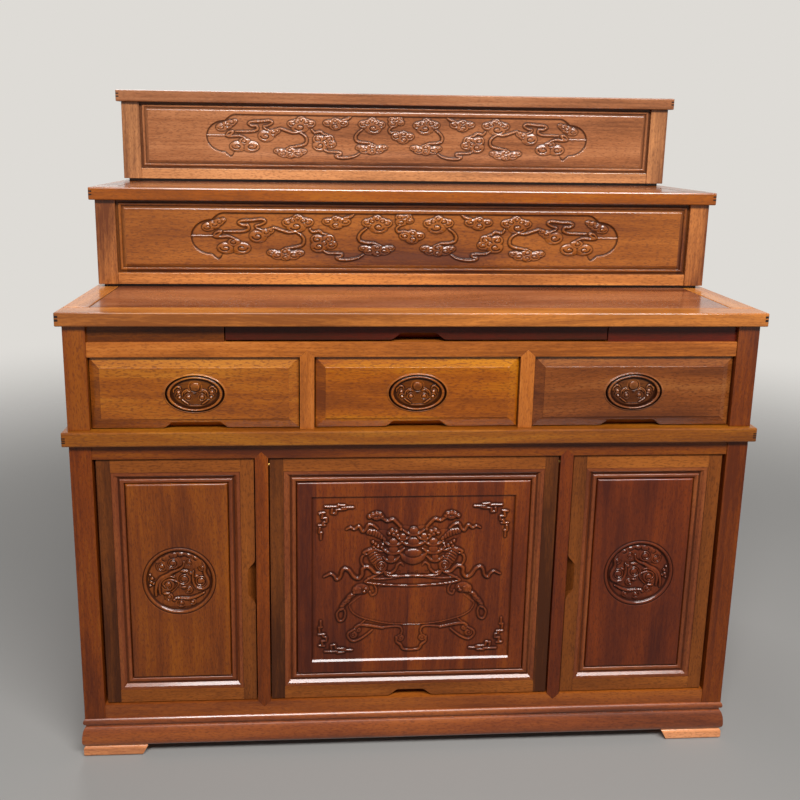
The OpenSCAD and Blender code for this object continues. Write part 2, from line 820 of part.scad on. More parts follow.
// A door frame centred on the origin in the XZ plane with its face at y = 0: stiles run full height
module door_frame(w, h) {
  s = stile_w;
  e = frame_edge;
  g = joint_line;
  color("#8a4a2a") {
    for (turn = [90, -90]) door_member(turn, h, w / 2, [[0, 0], [h, 0], [h, s], [h - s, s],
      [h - e, e], [e, e], [s, s], [0, s]]);
    for (turn = [0, 180]) door_member(turn, w, h / 2, [[s + g, 0], [w - s - g, 0], [w - s - g, s],
      [w - e - g, e], [e + g, e], [s + g, s]]);
  }
}

// A side door's frame on the right, hinged at its outer edge, with a scooped notch in its inner edge
module side_door_frame() {
  difference() {
    translate([side_door_x, door_face_y, door_mid_z]) difference() {
      door_frame(side_door_w, side_door_h);
      translate([-side_door_w / 2, 0, 0]) rotate([0, 90, 0])
        finger_cut(side_notch_l, side_notch_h, door_t, door_t - field_t / 2);
    }
    translate([side_pin_x, pin_y, opening_z])
      cylinder(r = pin_r + pin_play, h = door_gap + pin_in_door + run_gap);
    translate([side_pin_x, pin_y, top_rail_z - door_gap - pin_in_door - run_gap])
      cylinder(r = pin_r + pin_play, h = door_gap + pin_in_door + run_gap);
  }
}

module side_door_panel() {
  x1 = side_door_w / 2 - frame_edge;
  z1 = side_door_h / 2 - frame_edge;
  color("#74402a") translate([side_door_x, door_face_y + field_depth, door_mid_z]) difference() {
    block([-x1, 0, -z1], [x1, field_t, z1]);
    translate([0, dish_depth, dish_rise]) rotate([90, 0, 0]) cylinder(r = dish_r, h = dish_depth + cut);
  }
}

module door_frame_left() { mirror([1, 0, 0]) side_door_frame(); }
module door_panel_left() { mirror([1, 0, 0]) side_door_panel(); }
module door_frame_right() { side_door_frame(); }
module door_panel_right() { side_door_panel(); }

// The middle door's frame, hinged along its top, with a notch right through its bottom rail
module door_frame_middle() {
  difference() {
    translate([0, door_face_y, door_mid_z]) difference() {
      door_frame(middle_door_w, side_door_h);
      translate([0, 0, -side_door_h / 2]) finger_cut(middle_notch_l, middle_notch_h, door_t, 0);
    }
    both_sides() translate([middle_half - door_gap - pin_in_door - run_gap, pin_y, middle_pin_z])
      rotate([0, 90, 0]) cylinder(r = pin_r + pin_play, h = door_gap + pin_in_door + run_gap);
  }
}

module door_panel_middle() {
  x1 = middle_door_w / 2 - frame_edge;
  z1 = side_door_h / 2 - frame_edge;
  color("#6e3a24") translate([0, door_face_y + field_depth, door_mid_z]) difference() {
    block([-x1, 0, -z1], [x1, field_t, z1]);
    translate([-x1 + sunk_margin, 0, 0]) along_x(2 * (x1 - sunk_margin)) polygon([
      [-cut, -z1 + sunk_margin - cut], [sunk_depth, -z1 + sunk_margin + sunk_depth],
      [sunk_depth, z1 - sunk_margin], [-cut, z1 - sunk_margin]]);
  }
}

feet();
base_front();
base_sides();
base_rear();
bottom_board();
post_left();
post_right();
posts_rear();
rail_bottom();
rail_top();
divider_left();
divider_right();
side_left();
side_right();
rear_panel();
partitions();
door_stops();
hinge_pins();
waist_front();
waist_ends();
waist_rear();
waist_panel();
case_posts();
drawer_rail();
drawer_divider_left();
drawer_divider_right();
filler_left();
filler_right();
case_sides();
case_rear();
drawer_guides();
table_front();
table_rear();
table_ends();
table_panel();
lower_step_pads();
lower_step_frame();
lower_step_front();
lower_step_panels();
lower_shelf_frame();
lower_shelf_panel();
upper_step_pads();
upper_step_frame();
upper_step_front();
upper_step_panels();
upper_shelf_frame();
upper_shelf_panel();
drawer_front_left();
drawer_box_left();
drawer_front_middle();
drawer_box_middle();
drawer_front_right();
drawer_box_right();
pull_out_board();
door_frame_left();
door_panel_left();
door_frame_middle();
door_panel_middle();
door_frame_right();
door_panel_right();
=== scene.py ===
# Altar cabinet in reddish hardwood: a closed cabinet with a table top, and two shelf steps standing on it.
import math
from types import SimpleNamespace

import bpy
import numpy as np
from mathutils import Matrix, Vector


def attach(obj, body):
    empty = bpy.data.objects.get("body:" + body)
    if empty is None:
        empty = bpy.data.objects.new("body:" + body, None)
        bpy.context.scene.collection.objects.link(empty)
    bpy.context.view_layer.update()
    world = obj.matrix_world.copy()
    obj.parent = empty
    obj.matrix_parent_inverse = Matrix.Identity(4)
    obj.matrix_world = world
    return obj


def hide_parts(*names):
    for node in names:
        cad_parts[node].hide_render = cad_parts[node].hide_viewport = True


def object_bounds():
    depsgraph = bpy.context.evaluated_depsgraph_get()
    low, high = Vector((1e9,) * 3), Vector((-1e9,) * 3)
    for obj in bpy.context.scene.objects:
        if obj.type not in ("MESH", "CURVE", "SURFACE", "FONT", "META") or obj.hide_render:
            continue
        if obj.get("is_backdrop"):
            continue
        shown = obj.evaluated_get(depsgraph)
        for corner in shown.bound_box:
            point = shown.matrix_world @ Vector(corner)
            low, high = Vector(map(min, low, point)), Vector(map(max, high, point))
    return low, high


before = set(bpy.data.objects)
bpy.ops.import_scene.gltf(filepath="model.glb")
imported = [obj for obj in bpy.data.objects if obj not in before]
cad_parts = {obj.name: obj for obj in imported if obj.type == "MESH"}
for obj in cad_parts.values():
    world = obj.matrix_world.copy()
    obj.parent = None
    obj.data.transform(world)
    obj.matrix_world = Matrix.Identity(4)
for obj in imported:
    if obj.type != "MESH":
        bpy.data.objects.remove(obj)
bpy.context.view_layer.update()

# Feet and base moulding. Four short block feet carry a base moulding of solid rosewood, worked with a bead
# and a large round along its length and mitred at the corners. The wood is open-pored, under a satin
# lacquer.
draw = np.random.default_rng(11)


def srgb(code):
    """Linear colour of an sRGB hex value: each channel, after its offset, to the power 2.4."""
    c = np.array([int(code[i:i + 2], 16) for i in (1, 3, 5)]) / 255
    return (*np.where(c <= 0.04045, c / 12.92, ((c + 0.055) / 1.055) ** 2.4), 1.0)


def feed(tree, node, inputs):
    """Sets inputs of a shader node, to values or to the sockets they come from."""
    for key, value in dict(inputs).items():
        if isinstance(value, bpy.types.NodeSocket):
            tree.links.new(value, node.inputs[key])
        else:
            node.inputs[key].default_value = value


def add(tree, kind, inputs=(), **settings):
    """Makes a shader node with its settings and its inputs, and gives its outputs."""
    made = tree.nodes.new("ShaderNode" + kind)
    for key, value in settings.items():
        setattr(made, key, value)
    feed(tree, made, inputs)
    return made.outputs


def blank(name):
    """A new material, with its node tree and its shader."""
    made = bpy.data.materials.new(name)
    made.use_nodes = True
    return made, made.node_tree, made.node_tree.nodes["Principled BSDF"]


def along(tree, place, axis):
    """Place turned so that its third part runs along the fibres, which lie along that axis."""
    cut = add(tree, "SeparateXYZ", {0: place})
    return add(tree, "CombineXYZ", {k: cut[(axis + 1 + k) % 3] for k in range(3)})[0]


def choose(tree, share, other, first):
    """The vector other where share is 1 and first where it is 0."""
    gap = add(tree, "VectorMath", {0: other, 1: first}, operation="SUBTRACT")[0]
    return add(tree, "VectorMath", {0: gap, 1: share, 2: first}, operation="MULTIPLY_ADD")[0]


def within(tree, part, box):
    """1 inside a box of (axis, low, high) limits, 0 outside it; axis 0 counts from the middle plane."""
    share = 1.0
    for k, low, high in box:
        value = add(tree, "Math", {0: part[k]}, operation="ABSOLUTE")[0] if k == 0 else part[k]
        value = add(tree, "Math", {0: value, 1: (low + high) / 2, 2: (high - low) / 2},
                    operation="COMPARE")[0]
        share = add(tree, "Math", {0: value, 1: share}, operation="MULTIPLY")[0]
    return share


def from_edge(tree, value, middle, half):
    """How far value lies in from the nearer of two edges, which are half on either side of middle."""
    value = add(tree, "Math", {0: value, 1: middle}, operation="SUBTRACT")[0]
    value = add(tree, "Math", {0: value}, operation="ABSOLUTE")[0]
    return add(tree, "Math", {0: half, 1: value}, operation="SUBTRACT")[0]


def wood(name, shades, fibre=0, members=(), mitres=None, boards=None, uprights=(0.0, 0.0), tones=(),
         facets=None, combs=(), carved=0.0, streak=0.22, rings=0.14, figure=0.5, spread=0.8, pores=0.42,
         gloss=0.36,
         coat=0.6, polish=0.13):
    """Lacquered rosewood: open pores and reddish fibres under a coat that mirrors the lamps softly. Its
    shades go from dark to light along fine fibres (streak), growth rings round a pith beside the board
    (rings) and a broad figure (figure); spread is the share of the shades' range that one board shows.
    fibre is the axis of the fibres, and members are (axis, box) of parts whose fibres run along another
    axis. mitres is (middle x, middle z, half width, half height, flat, end) of a mitred frame, and uprights
    are the tones by which the members or stiles are lighter left and right of the middle. boards is (joint,
    width, contrast) of boards glued edge to edge across x. tones are (box, tone) of faces painted lighter or
    darker, as painted light and shade. facets is the bevel and the (middle, half, tone low, tone high) across
    and up of a bevelled front, whose bevels are painted lighter or darker by the side they face, as painted
    light and shade. combs are boxes of dark end grain or an open joint. carved is how dark the painted shade
    in the hollows of a carving is, pores how dark the vessels are, gloss the roughness of the wood, and coat
    and polish the weight and roughness of the lacquer."""
    made, tree, shader = blank(name)
    feed(tree, shader, {"IOR": 1.5, "Specular IOR Level": 0.06, "Coat Weight": coat,
                        "Coat Roughness": polish})
    place = add(tree, "TexCoord")["Object"]
    part = add(tree, "SeparateXYZ", {0: place})
    grain = along(tree, place, fibre)
    upright, mid_x = 0.0, 0.0
    for axis, box in members:
        share = within(tree, part, box)
        grain = choose(tree, share, along(tree, place, axis), grain)
        upright = add(tree, "Math", {0: share, 1: upright}, operation="MAXIMUM")[0]
    if mitres:
        mid_x, mid_z, half_x, half_z, flat, end = mitres
        inward = from_edge(tree, part[0], mid_x, half_x), from_edge(tree, part[2], mid_z, half_z)
        stile = add(tree, "Math", {0: inward[0], 1: flat}, operation="LESS_THAN")[0]
        mitre = add(tree, "Math", {0: inward[0], 1: inward[1]}, operation="LESS_THAN")[0]
        beside = add(tree, "Math", {0: inward[0], 1: end}, operation="LESS_THAN")[0]
        mitre = add(tree, "Math", {0: mitre, 1: beside}, operation="MULTIPLY")[0]
        upright = add(tree, "Math", {0: stile, 1: mitre}, operation="MAXIMUM")[0]
        grain = choose(tree, upright, along(tree, place, 2), grain)
    shift = 0.0
    if any(uprights):
        shift = add(tree, "Math", {0: part[0], 1: mid_x}, operation="GREATER_THAN")[0]
        shift = add(tree, "MapRange", {0: shift, 3: uprights[0], 4: uprights[1]})[0]
        shift = add(tree, "Math", {0: shift, 1: upright}, operation="MULTIPLY")[0]
    if boards:
        joint, width, contrast = boards
        number = add(tree, "Math", {0: part[0], 1: joint}, operation="SUBTRACT")[0]
        number = add(tree, "Math", {0: number, 1: width}, operation="DIVIDE")[0]
        number = add(tree, "Math", {0: number}, operation="FLOOR")[0]
        each = add(tree, "TexWhiteNoise", {"W": number}, noise_dimensions="1D")
        shift = add(tree, "Math", {0: each["Value"], 1: contrast, 2: -contrast / 2},
                    operation="MULTIPLY_ADD")[0]
        grain = add(tree, "VectorMath", {0: each["Color"], 1: (0.2, 0.2, 0.6), 2: grain},
                    operation="MULTIPLY_ADD")[0]
    # Faces in these boxes are painted lighter or darker: painted light and shade.
    for box, change in tones:
        shift = add(tree, "Math", {0: within(tree, part, box), 1: change, 2: shift},
                    operation="MULTIPLY_ADD")[0]
    # Each bevel of a bevelled front is painted lighter or darker by the side it faces: painted light and
    # shade.
    if facets:
        bevel, *sides = facets
        inward = []
        for value, (middle, half, tone_low, tone_high) in zip((part[0], part[2]), sides):
            beyond = add(tree, "Math", {0: value, 1: middle}, operation="GREATER_THAN")[0]
            change = add(tree, "MapRange", {0: beyond, 3: tone_low, 4: tone_high})[0]
            inward.append((from_edge(tree, value, middle, half), change))
        for (value, change), (other, _) in (inward, inward[::-1]):
            share = add(tree, "Math", {0: value, 1: bevel}, operation="LESS_THAN")[0]
            nearer = add(tree, "Math", {0: value, 1: other}, operation="LESS_THAN")[0]
            share = add(tree, "Math", {0: share, 1: nearer}, operation="MULTIPLY")[0]
            shift = add(tree, "Math", {0: share, 1: change, 2: shift}, operation="MULTIPLY_ADD")[0]
    grain = add(tree, "Mapping", {0: grain, 1: tuple(draw.uniform(-0.12, 0.12, 3))})[0]
    # Scales are per metre, across and along the fibres: fibres of about 3 by 30 mm, a figure of 45 by 380 mm.
    slow = add(tree, "VectorMath", {0: grain, 1: (4, 4, 0.9)}, operation="MULTIPLY")[0]
    bend = add(tree, "TexNoise", {"Vector": slow, "Scale": 1.0, "Detail": 1.0})["Color"]
    bend = add(tree, "VectorMath", {0: bend, 1: (0.06, 0.06, 0), 2: grain}, operation="MULTIPLY_ADD")[0]
    flat_place = add(tree, "VectorMath", {0: bend, 1: (1, 1, 0)}, operation="MULTIPLY")[0]
    radius = add(tree, "VectorMath", {0: flat_place}, operation="LENGTH")["Value"]
    ring = add(tree, "TexNoise", {"W": radius, "Scale": 120.0, "Detail": 3.0, "Roughness": 0.6},
               noise_dimensions="1D")[0]
    fine = add(tree, "VectorMath", {0: bend, 1: (300, 300, 34)}, operation="MULTIPLY")[0]
    fine = add(tree, "TexNoise", {"Vector": fine, "Scale": 1.0, "Detail": 3.0, "Roughness": 0.7})[0]
    broad = add(tree, "VectorMath", {0: bend, 1: (22, 22, 2.6)}, operation="MULTIPLY")[0]
    broad = add(tree, "TexNoise", {"Vector": broad, "Scale": 1.0, "Detail": 2.0})[0]
    tone = 0.0
    for value, weight in ((ring, rings), (fine, streak), (broad, figure)):
        tone = add(tree, "Math", {0: value, 1: weight, 2: tone}, operation="MULTIPLY_ADD")[0]
    # The weighted noises lie mostly between 0.37 and 0.63 of their total.
    total = rings + streak + figure
    tone = add(tree, "MapRange", {0: tone, 1: total * 0.37, 2: total * 0.63, 3: 0.5 - spread / 2,
                                  4: 0.5 + spread / 2})[0]
    tone = add(tree, "Math", {0: tone, 1: shift}, operation="ADD", use_clamp=True)[0]
    ramp = add(tree, "ValToRGB", {0: tone})[0]
    stops = ramp.node.color_ramp.elements
    for k, code in enumerate(shades):
        stop = stops[k] if k < 2 else stops.new(1.0)
        stop.position, stop.color = k / (len(shades) - 1), srgb(code)
    # The vessels are 0.2 mm wide in the real wood, and drawn about 1.5 mm wide so that they show.
    dash = add(tree, "VectorMath", {0: bend, 1: (440, 440, 125)}, operation="MULTIPLY")[0]
    dash = add(tree, "TexNoise", {"Vector": dash, "Scale": 1.0, "Detail": 1.0})[0]
    dash = add(tree, "MapRange", {0: dash, 1: 0.48, 2: 0.34})[0]
    dark = add(tree, "Math", {0: dash, 1: pores}, operation="MULTIPLY")[0]
    colour = add(tree, "Mix", {0: dark, 6: ramp, 7: srgb(shades[0])}, data_type="RGBA")[2]
    for box in combs:
        colour = add(tree, "Mix", {0: within(tree, part, box), 6: colour, 7: srgb("#1f0d06")},
                     data_type="RGBA")[2]
    # Hollows are painted darker: painted shade, with the dark polish that gathers in them, and their coat is
    # made thinner. Raised points are painted lighter: a painted highlight, with the rubbing of wear.
    if carved:
        hollow = add(tree, "Attribute", attribute_name="hollow")["Fac"]
        wear_and_highlight = add(tree, "MapRange", {0: hollow, 1: -0.2, 2: -0.9, 4: 0.2})[0]
        colour = add(tree, "Mix", {0: wear_and_highlight, 6: colour, 7: srgb(shades[2])}, data_type="RGBA")[2]
        hollow = add(tree, "MapRange", {0: hollow, 1: 0.02, 2: 0.32, 4: carved})[0]
        lacquer = add(tree, "MapRange", {0: hollow, 3: coat, 4: coat * 0.15})[0]
        feed(tree, shader, {"Coat Weight": lacquer})
        colour = add(tree, "Mix", {0: hollow, 6: colour, 7: srgb("#1a0602")}, data_type="RGBA")[2]
    handled = add(tree, "TexNoise", {"Vector": place, "Scale": 7.0, "Detail": 2.0})[0]
    handled = add(tree, "MapRange", {0: handled, 1: 0.35, 2: 0.65, 3: gloss - 0.05, 4: gloss + 0.07})[0]
    rough = add(tree, "Math", {0: dash, 1: 0.12, 2: handled}, operation="MULTIPLY_ADD")[0]
    relief = add(tree, "Math", {0: dash, 1: -1.0, 2: fine}, operation="MULTIPLY_ADD")[0]
    bump = add(tree, "Bump", {"Strength": 0.2, "Distance": 0.0003, "Height": relief})[0]
    feed(tree, shader, {"Base Color": colour, "Roughness": rough, "Normal": bump})
    return made


def finish_node(node, material, ease=0.0008, segments=2):
    """Gives a CAD node its material, and breaks its sharp edges by the width ease, in metres, as sandpaper
    does. More segments round an edge that catches the light."""
    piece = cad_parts[node]
    for slot in piece.material_slots:
        slot.material = material
    if ease:
        piece.modifiers.new("joined", "WELD").merge_threshold = 1e-5
        eased = piece.modifiers.new("eased", "BEVEL")
        eased.width, eased.segments, eased.angle_limit = ease, segments, math.radians(35)


# Widths of eased edges: a corner left crisp, and one rounded by hand. The feet are of paler wood, and the
# base has a full coat, so that the lamp draws a line along its bead.
crisp, rounded = 0.0005, 0.0025
foot_wood = wood("rosewood_feet", ("#945436", "#d98c58", "#f4a673"))
base_shades = ("#4e2110", "#823e18", "#9f531e")
base_x = wood("rosewood_base", base_shades, coat=1.0, polish=0.15)
base_y = wood("rosewood_base_sides", base_shades, fibre=1, coat=1.0, polish=0.15)
finish_node("feet", foot_wood, 0.0012)
for node, material in (("base_front", base_x), ("base_rear", base_x), ("base_sides", base_y)):
    finish_node(node, material, crisp)

# Carcass of the cupboards. Square posts, flush rails and upright dividers are tenoned together and hold thin
# panels in grooves; the inner boards are plainer, thinly lacquered wood of the same kind.
post_shades = ("#4a1c0a", "#73330a", "#8e4c0c")
rail_shades = ("#441a0c", "#6c320c", "#88470c")
inner_shades = ("#6b3e20", "#946039", "#b3804f")
for side in ("left", "right"):
    finish_node(f"post_{side}", wood(f"rosewood_post_{side}", post_shades, 2, coat=0.45))
finish_node("posts_rear", wood("rosewood_posts_rear", post_shades, 2))
finish_node("rail_bottom", wood("rosewood_rail_bottom", ("#5a2710", "#874418", "#a2581c")), crisp)
finish_node("rail_top", wood("rosewood_rail_top", rail_shades, coat=0.45), crisp)
for side, shades in (("left", ("#4c1f0a", "#79360a", "#994d0a")),
                     ("right", ("#39120b", "#5c240b", "#77340b"))):
    finish_node(f"divider_{side}", wood(f"rosewood_divider_{side}", shades, 2, coat=0.45), crisp)
side_panel = [(2, ((0, 0.6, 0.622), (2, 0.107, 0.605)))]
for side in ("left", "right"):
    finish_node(f"side_{side}", wood(f"rosewood_side_{side}", post_shades, 1, side_panel))
finish_node("rear_panel", wood("rosewood_rear", inner_shades, 2, boards=(0.0, 0.14, 0.5)))
finish_node("bottom_board", wood("plain_bottom_board", inner_shades))
finish_node("partitions", wood("plain_partitions", inner_shades, 2))
finish_node("door_stops", wood("rosewood_stops", inner_shades))

# Hinge pins. Short brass pins at the top and bottom of the doors let them turn; they are drawn wire, left
# bare, with the dull spots that handling gives.
pin, tree, brass = blank("brass_pin")
spots = add(tree, "TexNoise", {"Vector": add(tree, "TexCoord")["Object"], "Scale": 900.0})[0]
tint = add(tree, "Mix", {0: spots, 6: srgb("#a2803f"), 7: srgb("#c7a55c")}, data_type="RGBA")[2]
dull = add(tree, "MapRange", {0: spots, 3: 0.28, 4: 0.5})[0]
feed(tree, brass, {"Base Color": tint, "Roughness": dull, "Metallic": 1.0})
finish_node("hinge_pins", pin, 0)

# Waist board. A frame with rounded edges lies on the cupboards and stands proud of them all round; it is
# comb jointed at the corners, where the dark end grain shows, and holds a thin dust panel.
waist_shades = ("#55290f", "#83470f", "#9d6118")


def corner_combs(low, front, rises, high):
    """Boxes where a 25 mm frame shows its fingers at the front corners, each one of the rises above low."""
    ends = (0, 0.6275, 0.64), (1, front - 0.001, front + 0.0095)
    return [(*ends, (2, low + k, low + k + high)) for k in rises]


combs = corner_combs(0.634, -0.34, (0.0062, 0.0102, 0.0142), 0.0024)
finish_node("waist_front", wood("rosewood_waist", waist_shades, combs=combs), rounded)
finish_node("waist_rear", wood("rosewood_waist_rear", waist_shades), rounded)
finish_node("waist_ends", wood("rosewood_waist_ends", waist_shades, 1, combs=combs), rounded)
finish_node("waist_panel", wood("plain_dust_panel", inner_shades))

# Drawer case. Short posts and dividers of the same wood are tenoned between the waist board and a rail;
# darker fillers stand above the rail, on both sides of the slot of the pull-out board.
case_shades = ("#4a1d0c", "#6f320c", "#87460e")
posts_box = [(2, ((0, 0.58, 0.64),))]
finish_node("case_posts", wood("rosewood_case_posts", case_shades, 2, posts_box, uprights=(0.3, -0.2)))
drawer_rail_shades = ("#6f3710", "#a75d21", "#c27735")
finish_node("drawer_rail", wood("rosewood_drawer_rail", drawer_rail_shades), crisp)
for side, shades in (("left", ("#3d1a09", "#623009", "#794209")),
                     ("right", ("#331308", "#501608", "#672208"))):
    divider_wood = wood(f"rosewood_drawer_divider_{side}", drawer_rail_shades, 2)
    finish_node(f"drawer_divider_{side}", divider_wood, crisp)
    finish_node(f"filler_{side}", wood(f"rosewood_filler_{side}", shades, coat=0.4), crisp)
finish_node("case_sides", wood("rosewood_case_sides", post_shades, 1))
finish_node("case_rear", wood("rosewood_case_rear", inner_shades))
finish_node("drawer_guides", wood("plain_guides", inner_shades, 1))

# Table top. A frame of 25 mm boards, comb jointed at the front corners, holds a flush panel of redder and
# glossier boards; the edges are rounded by hand.
top_shades = ("#5f2b12", "#8d5133", "#a46a49")
edge_shades = ("#7d4419", "#b66d2d", "#d4893d")
combs = corner_combs(0.853, -0.34, (0.0092, 0.0156), 0.0042)
joint_line = ((0, 0.5858, 0.5885), (1, -0.292, 0.3))
# The front faces of the top's frame are painted darker than its top: painted shade.
shaded_front = [(((1, -0.341, -0.3375),), -0.33)]
front_wood = wood("rosewood_table_front", edge_shades, tones=shaded_front, combs=combs, gloss=0.28)
finish_node("table_front", front_wood, rounded, 4)
finish_node("table_rear", wood("rosewood_table_rear", edge_shades, gloss=0.28), rounded)
combs.append(joint_line)
end_wood = wood("rosewood_table_ends", edge_shades, 1, tones=shaded_front, combs=combs, gloss=0.28)
finish_node("table_ends", end_wood, rounded, 4)
panel_wood = wood("rosewood_table_panel", top_shades, combs=[joint_line], gloss=0.26, coat=0.75)
finish_node("table_panel", panel_wood, crisp)

# Steps. Each step stands on near-black strips and is a frame of posts and rails round thin panels, under
# a shelf made as the table top is. Its front is one long board: a mitred border worked with a bead holds a
# field whose ground is cut away round clouds and ribbons, which end level with the border.
strip = wood("near_black_strip", ("#120a07", "#1c110c", "#2a1a12"))


def solid(name, points, faces, rounded, sharp, hollow):
    """A mesh of points, in millimetres, and arrays of faces. The first arrays, as many as rounded says, are
    shaded as one smooth surface between edges of more than sharp degrees. hollow is how deep each point lies
    below the points round it, with the painted shade given to it."""
    mesh = bpy.data.meshes.new(name)
    corners = np.concatenate([part.ravel() for part in faces])
    sizes = np.concatenate([np.full(len(part), part.shape[1]) for part in faces])
    mesh.vertices.add(len(points))
    mesh.loops.add(len(corners))
    mesh.polygons.add(len(sizes))
    mesh.vertices.foreach_set("co", (points / 1000).ravel())
    mesh.loops.foreach_set("vertex_index", corners.astype(np.int32))
    mesh.polygons.foreach_set("loop_start", (np.cumsum(sizes) - sizes).astype(np.int32))
    mesh.polygons.foreach_set("use_smooth",
                              np.arange(len(sizes)) < sum(len(part) for part in faces[:rounded]))
    mesh.update(calc_edges=True)
    mesh.set_sharp_from_angle(angle=math.radians(sharp))
    mesh.attributes.new("hollow", "FLOAT", "POINT").data.foreach_set("value", hollow.astype(np.float32))
    made = bpy.data.objects.new(name, mesh)
    bpy.context.scene.collection.objects.link(made)
    return made


def finish_piece(made, material, body, slot, *nodes):
    """Gives a new piece its material, the body that it moves with, and the CAD nodes that it stands for."""
    made.data.materials.append(material)
    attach(made, body)
    if nodes:
        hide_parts(*nodes)


def carved_plate(name, across, up, height, face, back, around=False, painted_shade=0.0, lift=0.0):
    """A closed plate whose front is the grid of points (across, face - height - lift, up). Its rim goes
    straight back to the plane y = back, where a fan closes it. With around, the grid's columns close to
    rings, and a vertex closes the first one. Each point also keeps how deep it lies below a blur of the
    heights, eight passes of the weights 1, 2, 1 along the grid, plus the painted shade given to it, which
    darkens grooves and the feet of walls, and lightens where it is below 0."""
    soft = height
    for _ in range(8):
        for axis in (0, 1):
            soft = (np.roll(soft, 1, axis) + 2 * soft + np.roll(soft, -1, axis)) / 4
    points = np.stack([across, face - height - lift, up], -1)
    index = np.arange(height.size).reshape(height.shape)
    if around:
        index = np.concatenate([index, index[:, :1]], 1)
        rim = index[-1, :-1]
    else:
        rim = np.concatenate([index[:-1, 0], index[-1, :-1], index[:0:-1, -1], index[0, :0:-1]])
    flat = points.reshape(-1, 3)
    rear = flat[rim] * (1, 0, 1) + (0, back, 0)
    behind = height.size + np.arange(len(rim))
    centre, middle = height.size + len(rim), height.size + len(rim) + 1
    front = [np.stack([index[:-1, :-1], index[1:, :-1], index[1:, 1:], index[:-1, 1:]], -1).reshape(-1, 4)]
    ends = [rear.mean(0)]
    if around:
        front.append(np.stack([np.full(len(rim), middle), index[0, :-1], index[0, 1:]], -1))
        ends.append(points[0].mean(0))
    on, on_behind = np.roll(rim, -1), np.roll(behind, -1)
    sides = [np.stack([on, rim, behind, on_behind], -1),
             np.stack([on_behind, behind, np.full(len(rim), centre)], -1)]
    hollow = np.concatenate([(soft - height + painted_shade).ravel(), np.zeros(len(rim) + len(ends))])
    return solid(name, np.concatenate([flat, rear, ends]), front + sides, len(front), 75, hollow)


def carving(across, up):
    """The points of a carving, in millimetres: places across and up, and heights, all 0 at first."""
    return SimpleNamespace(x=across.ravel(), z=up.ravel(), high=np.zeros(across.size))


def near(work, path, reach):
    """The points within reach of a path, with their distance to it, the least over its segments, and the
    share of its length where they come nearest."""
    path = np.asarray(path, float)
    low, high = path.min(0) - reach, path.max(0) + reach
    pick = np.nonzero((work.x > low[0]) & (work.x < high[0]) & (work.z > low[1]) & (work.z < high[1]))[0]
    start, step = path[:-1], np.diff(path, axis=0)
    size = np.maximum((step ** 2).sum(1), 1e-9)
    place = np.stack([work.x[pick], work.z[pick]], 1)[:, None] - start
    part = np.clip((place * step).sum(2) / size, 0, 1)
    away = np.hypot(*np.moveaxis(place - part[..., None] * step, 2, 0))
    best, row = away.argmin(1), np.arange(len(pick))
    run = np.concatenate([[0], np.cumsum(np.sqrt(size))])
    return pick, away[row, best], (run[best] + part[row, best] * np.sqrt(size[best])) / run[-1]


def smooth(points, parts=6):
    """A curve through points: the Catmull-Rom cubic of each four points in a row, in equal parts."""
    points = np.asarray(points, float)
    ends = np.concatenate([2 * points[:1] - points[1:2], points, 2 * points[-1:] - points[-2:-1]])
    a, b, c, d = (part[:, None] for part in (ends[:-3], ends[1:-2], ends[2:-1], ends[3:]))
    t = (np.arange(parts) / parts)[None, :, None]
    curve = 2 * b + (c - a) * t + (2 * a - 5 * b + 4 * c - d) * t ** 2 + (3 * b - a - 3 * c + d) * t ** 3
    return np.concatenate([0.5 * curve.reshape(-1, 2), points[-1:]])


def rib(work, path, wide, high, base=0.0):
    """A rounded rib along a path: base + high * sqrt(1 - (distance / half width) ** 2), where the half
    width goes through the values of wide along the path."""
    wide = np.atleast_1d(wide).astype(float)
    pick, away, share = near(work, path, wide.max())
    half = np.interp(share, np.linspace(0, 1, len(wide)), wide)
    inside = away < half
    pick, top = pick[inside], base + high * np.sqrt(1 - (away[inside] / half[inside]) ** 2)
    work.high[pick] = np.maximum(work.high[pick], top)


def scratch(work, path, wide, deep, ground=-9.0):
    """A groove along a path: deep * (1 - (distance / half width) ** 2) comes off, down to ground at most."""
    pick, away, _ = near(work, path, wide)
    pick, away = pick[away < wide], away[away < wide]
    old = work.high[pick]
    work.high[pick] = np.maximum(old - deep * (1 - (away / wide) ** 2), np.minimum(old, ground))


def knob(work, x, z, size, high, base=0.0, turn=0.0):
    """A rounded knob: base + high * sqrt(1 - q), where q is the squared distance in the ellipse with the
    half sizes size, turned by turn degrees."""
    wide, tall = (size, size) if np.isscalar(size) else size
    reach = max(wide, tall)
    pick = np.nonzero((abs(work.x - x) < reach) & (abs(work.z - z) < reach))[0]
    c, s = math.cos(math.radians(turn)), math.sin(math.radians(turn))
    dx, dz = work.x[pick] - x, work.z[pick] - z
    q = ((dx * c + dz * s) / wide) ** 2 + ((dz * c - dx * s) / tall) ** 2
    pick, q = pick[q < 1], q[q < 1]
    work.high[pick] = np.maximum(work.high[pick], base + high * np.sqrt(1 - q))


def curl(x, z, size, start, turns, end=0.15):
    """A spiral path: its half sizes shrink evenly to their share end while it turns from start degrees."""
    wide, tall = (size, size) if np.isscalar(size) else size
    t = np.linspace(0, 1, 12 + round(24 * abs(turns)))
    angle, share = np.radians(start + 360 * turns * t), 1 + (end - 1) * t
    return np.stack([x + wide * share * np.cos(angle), z + tall * share * np.sin(angle)], 1)


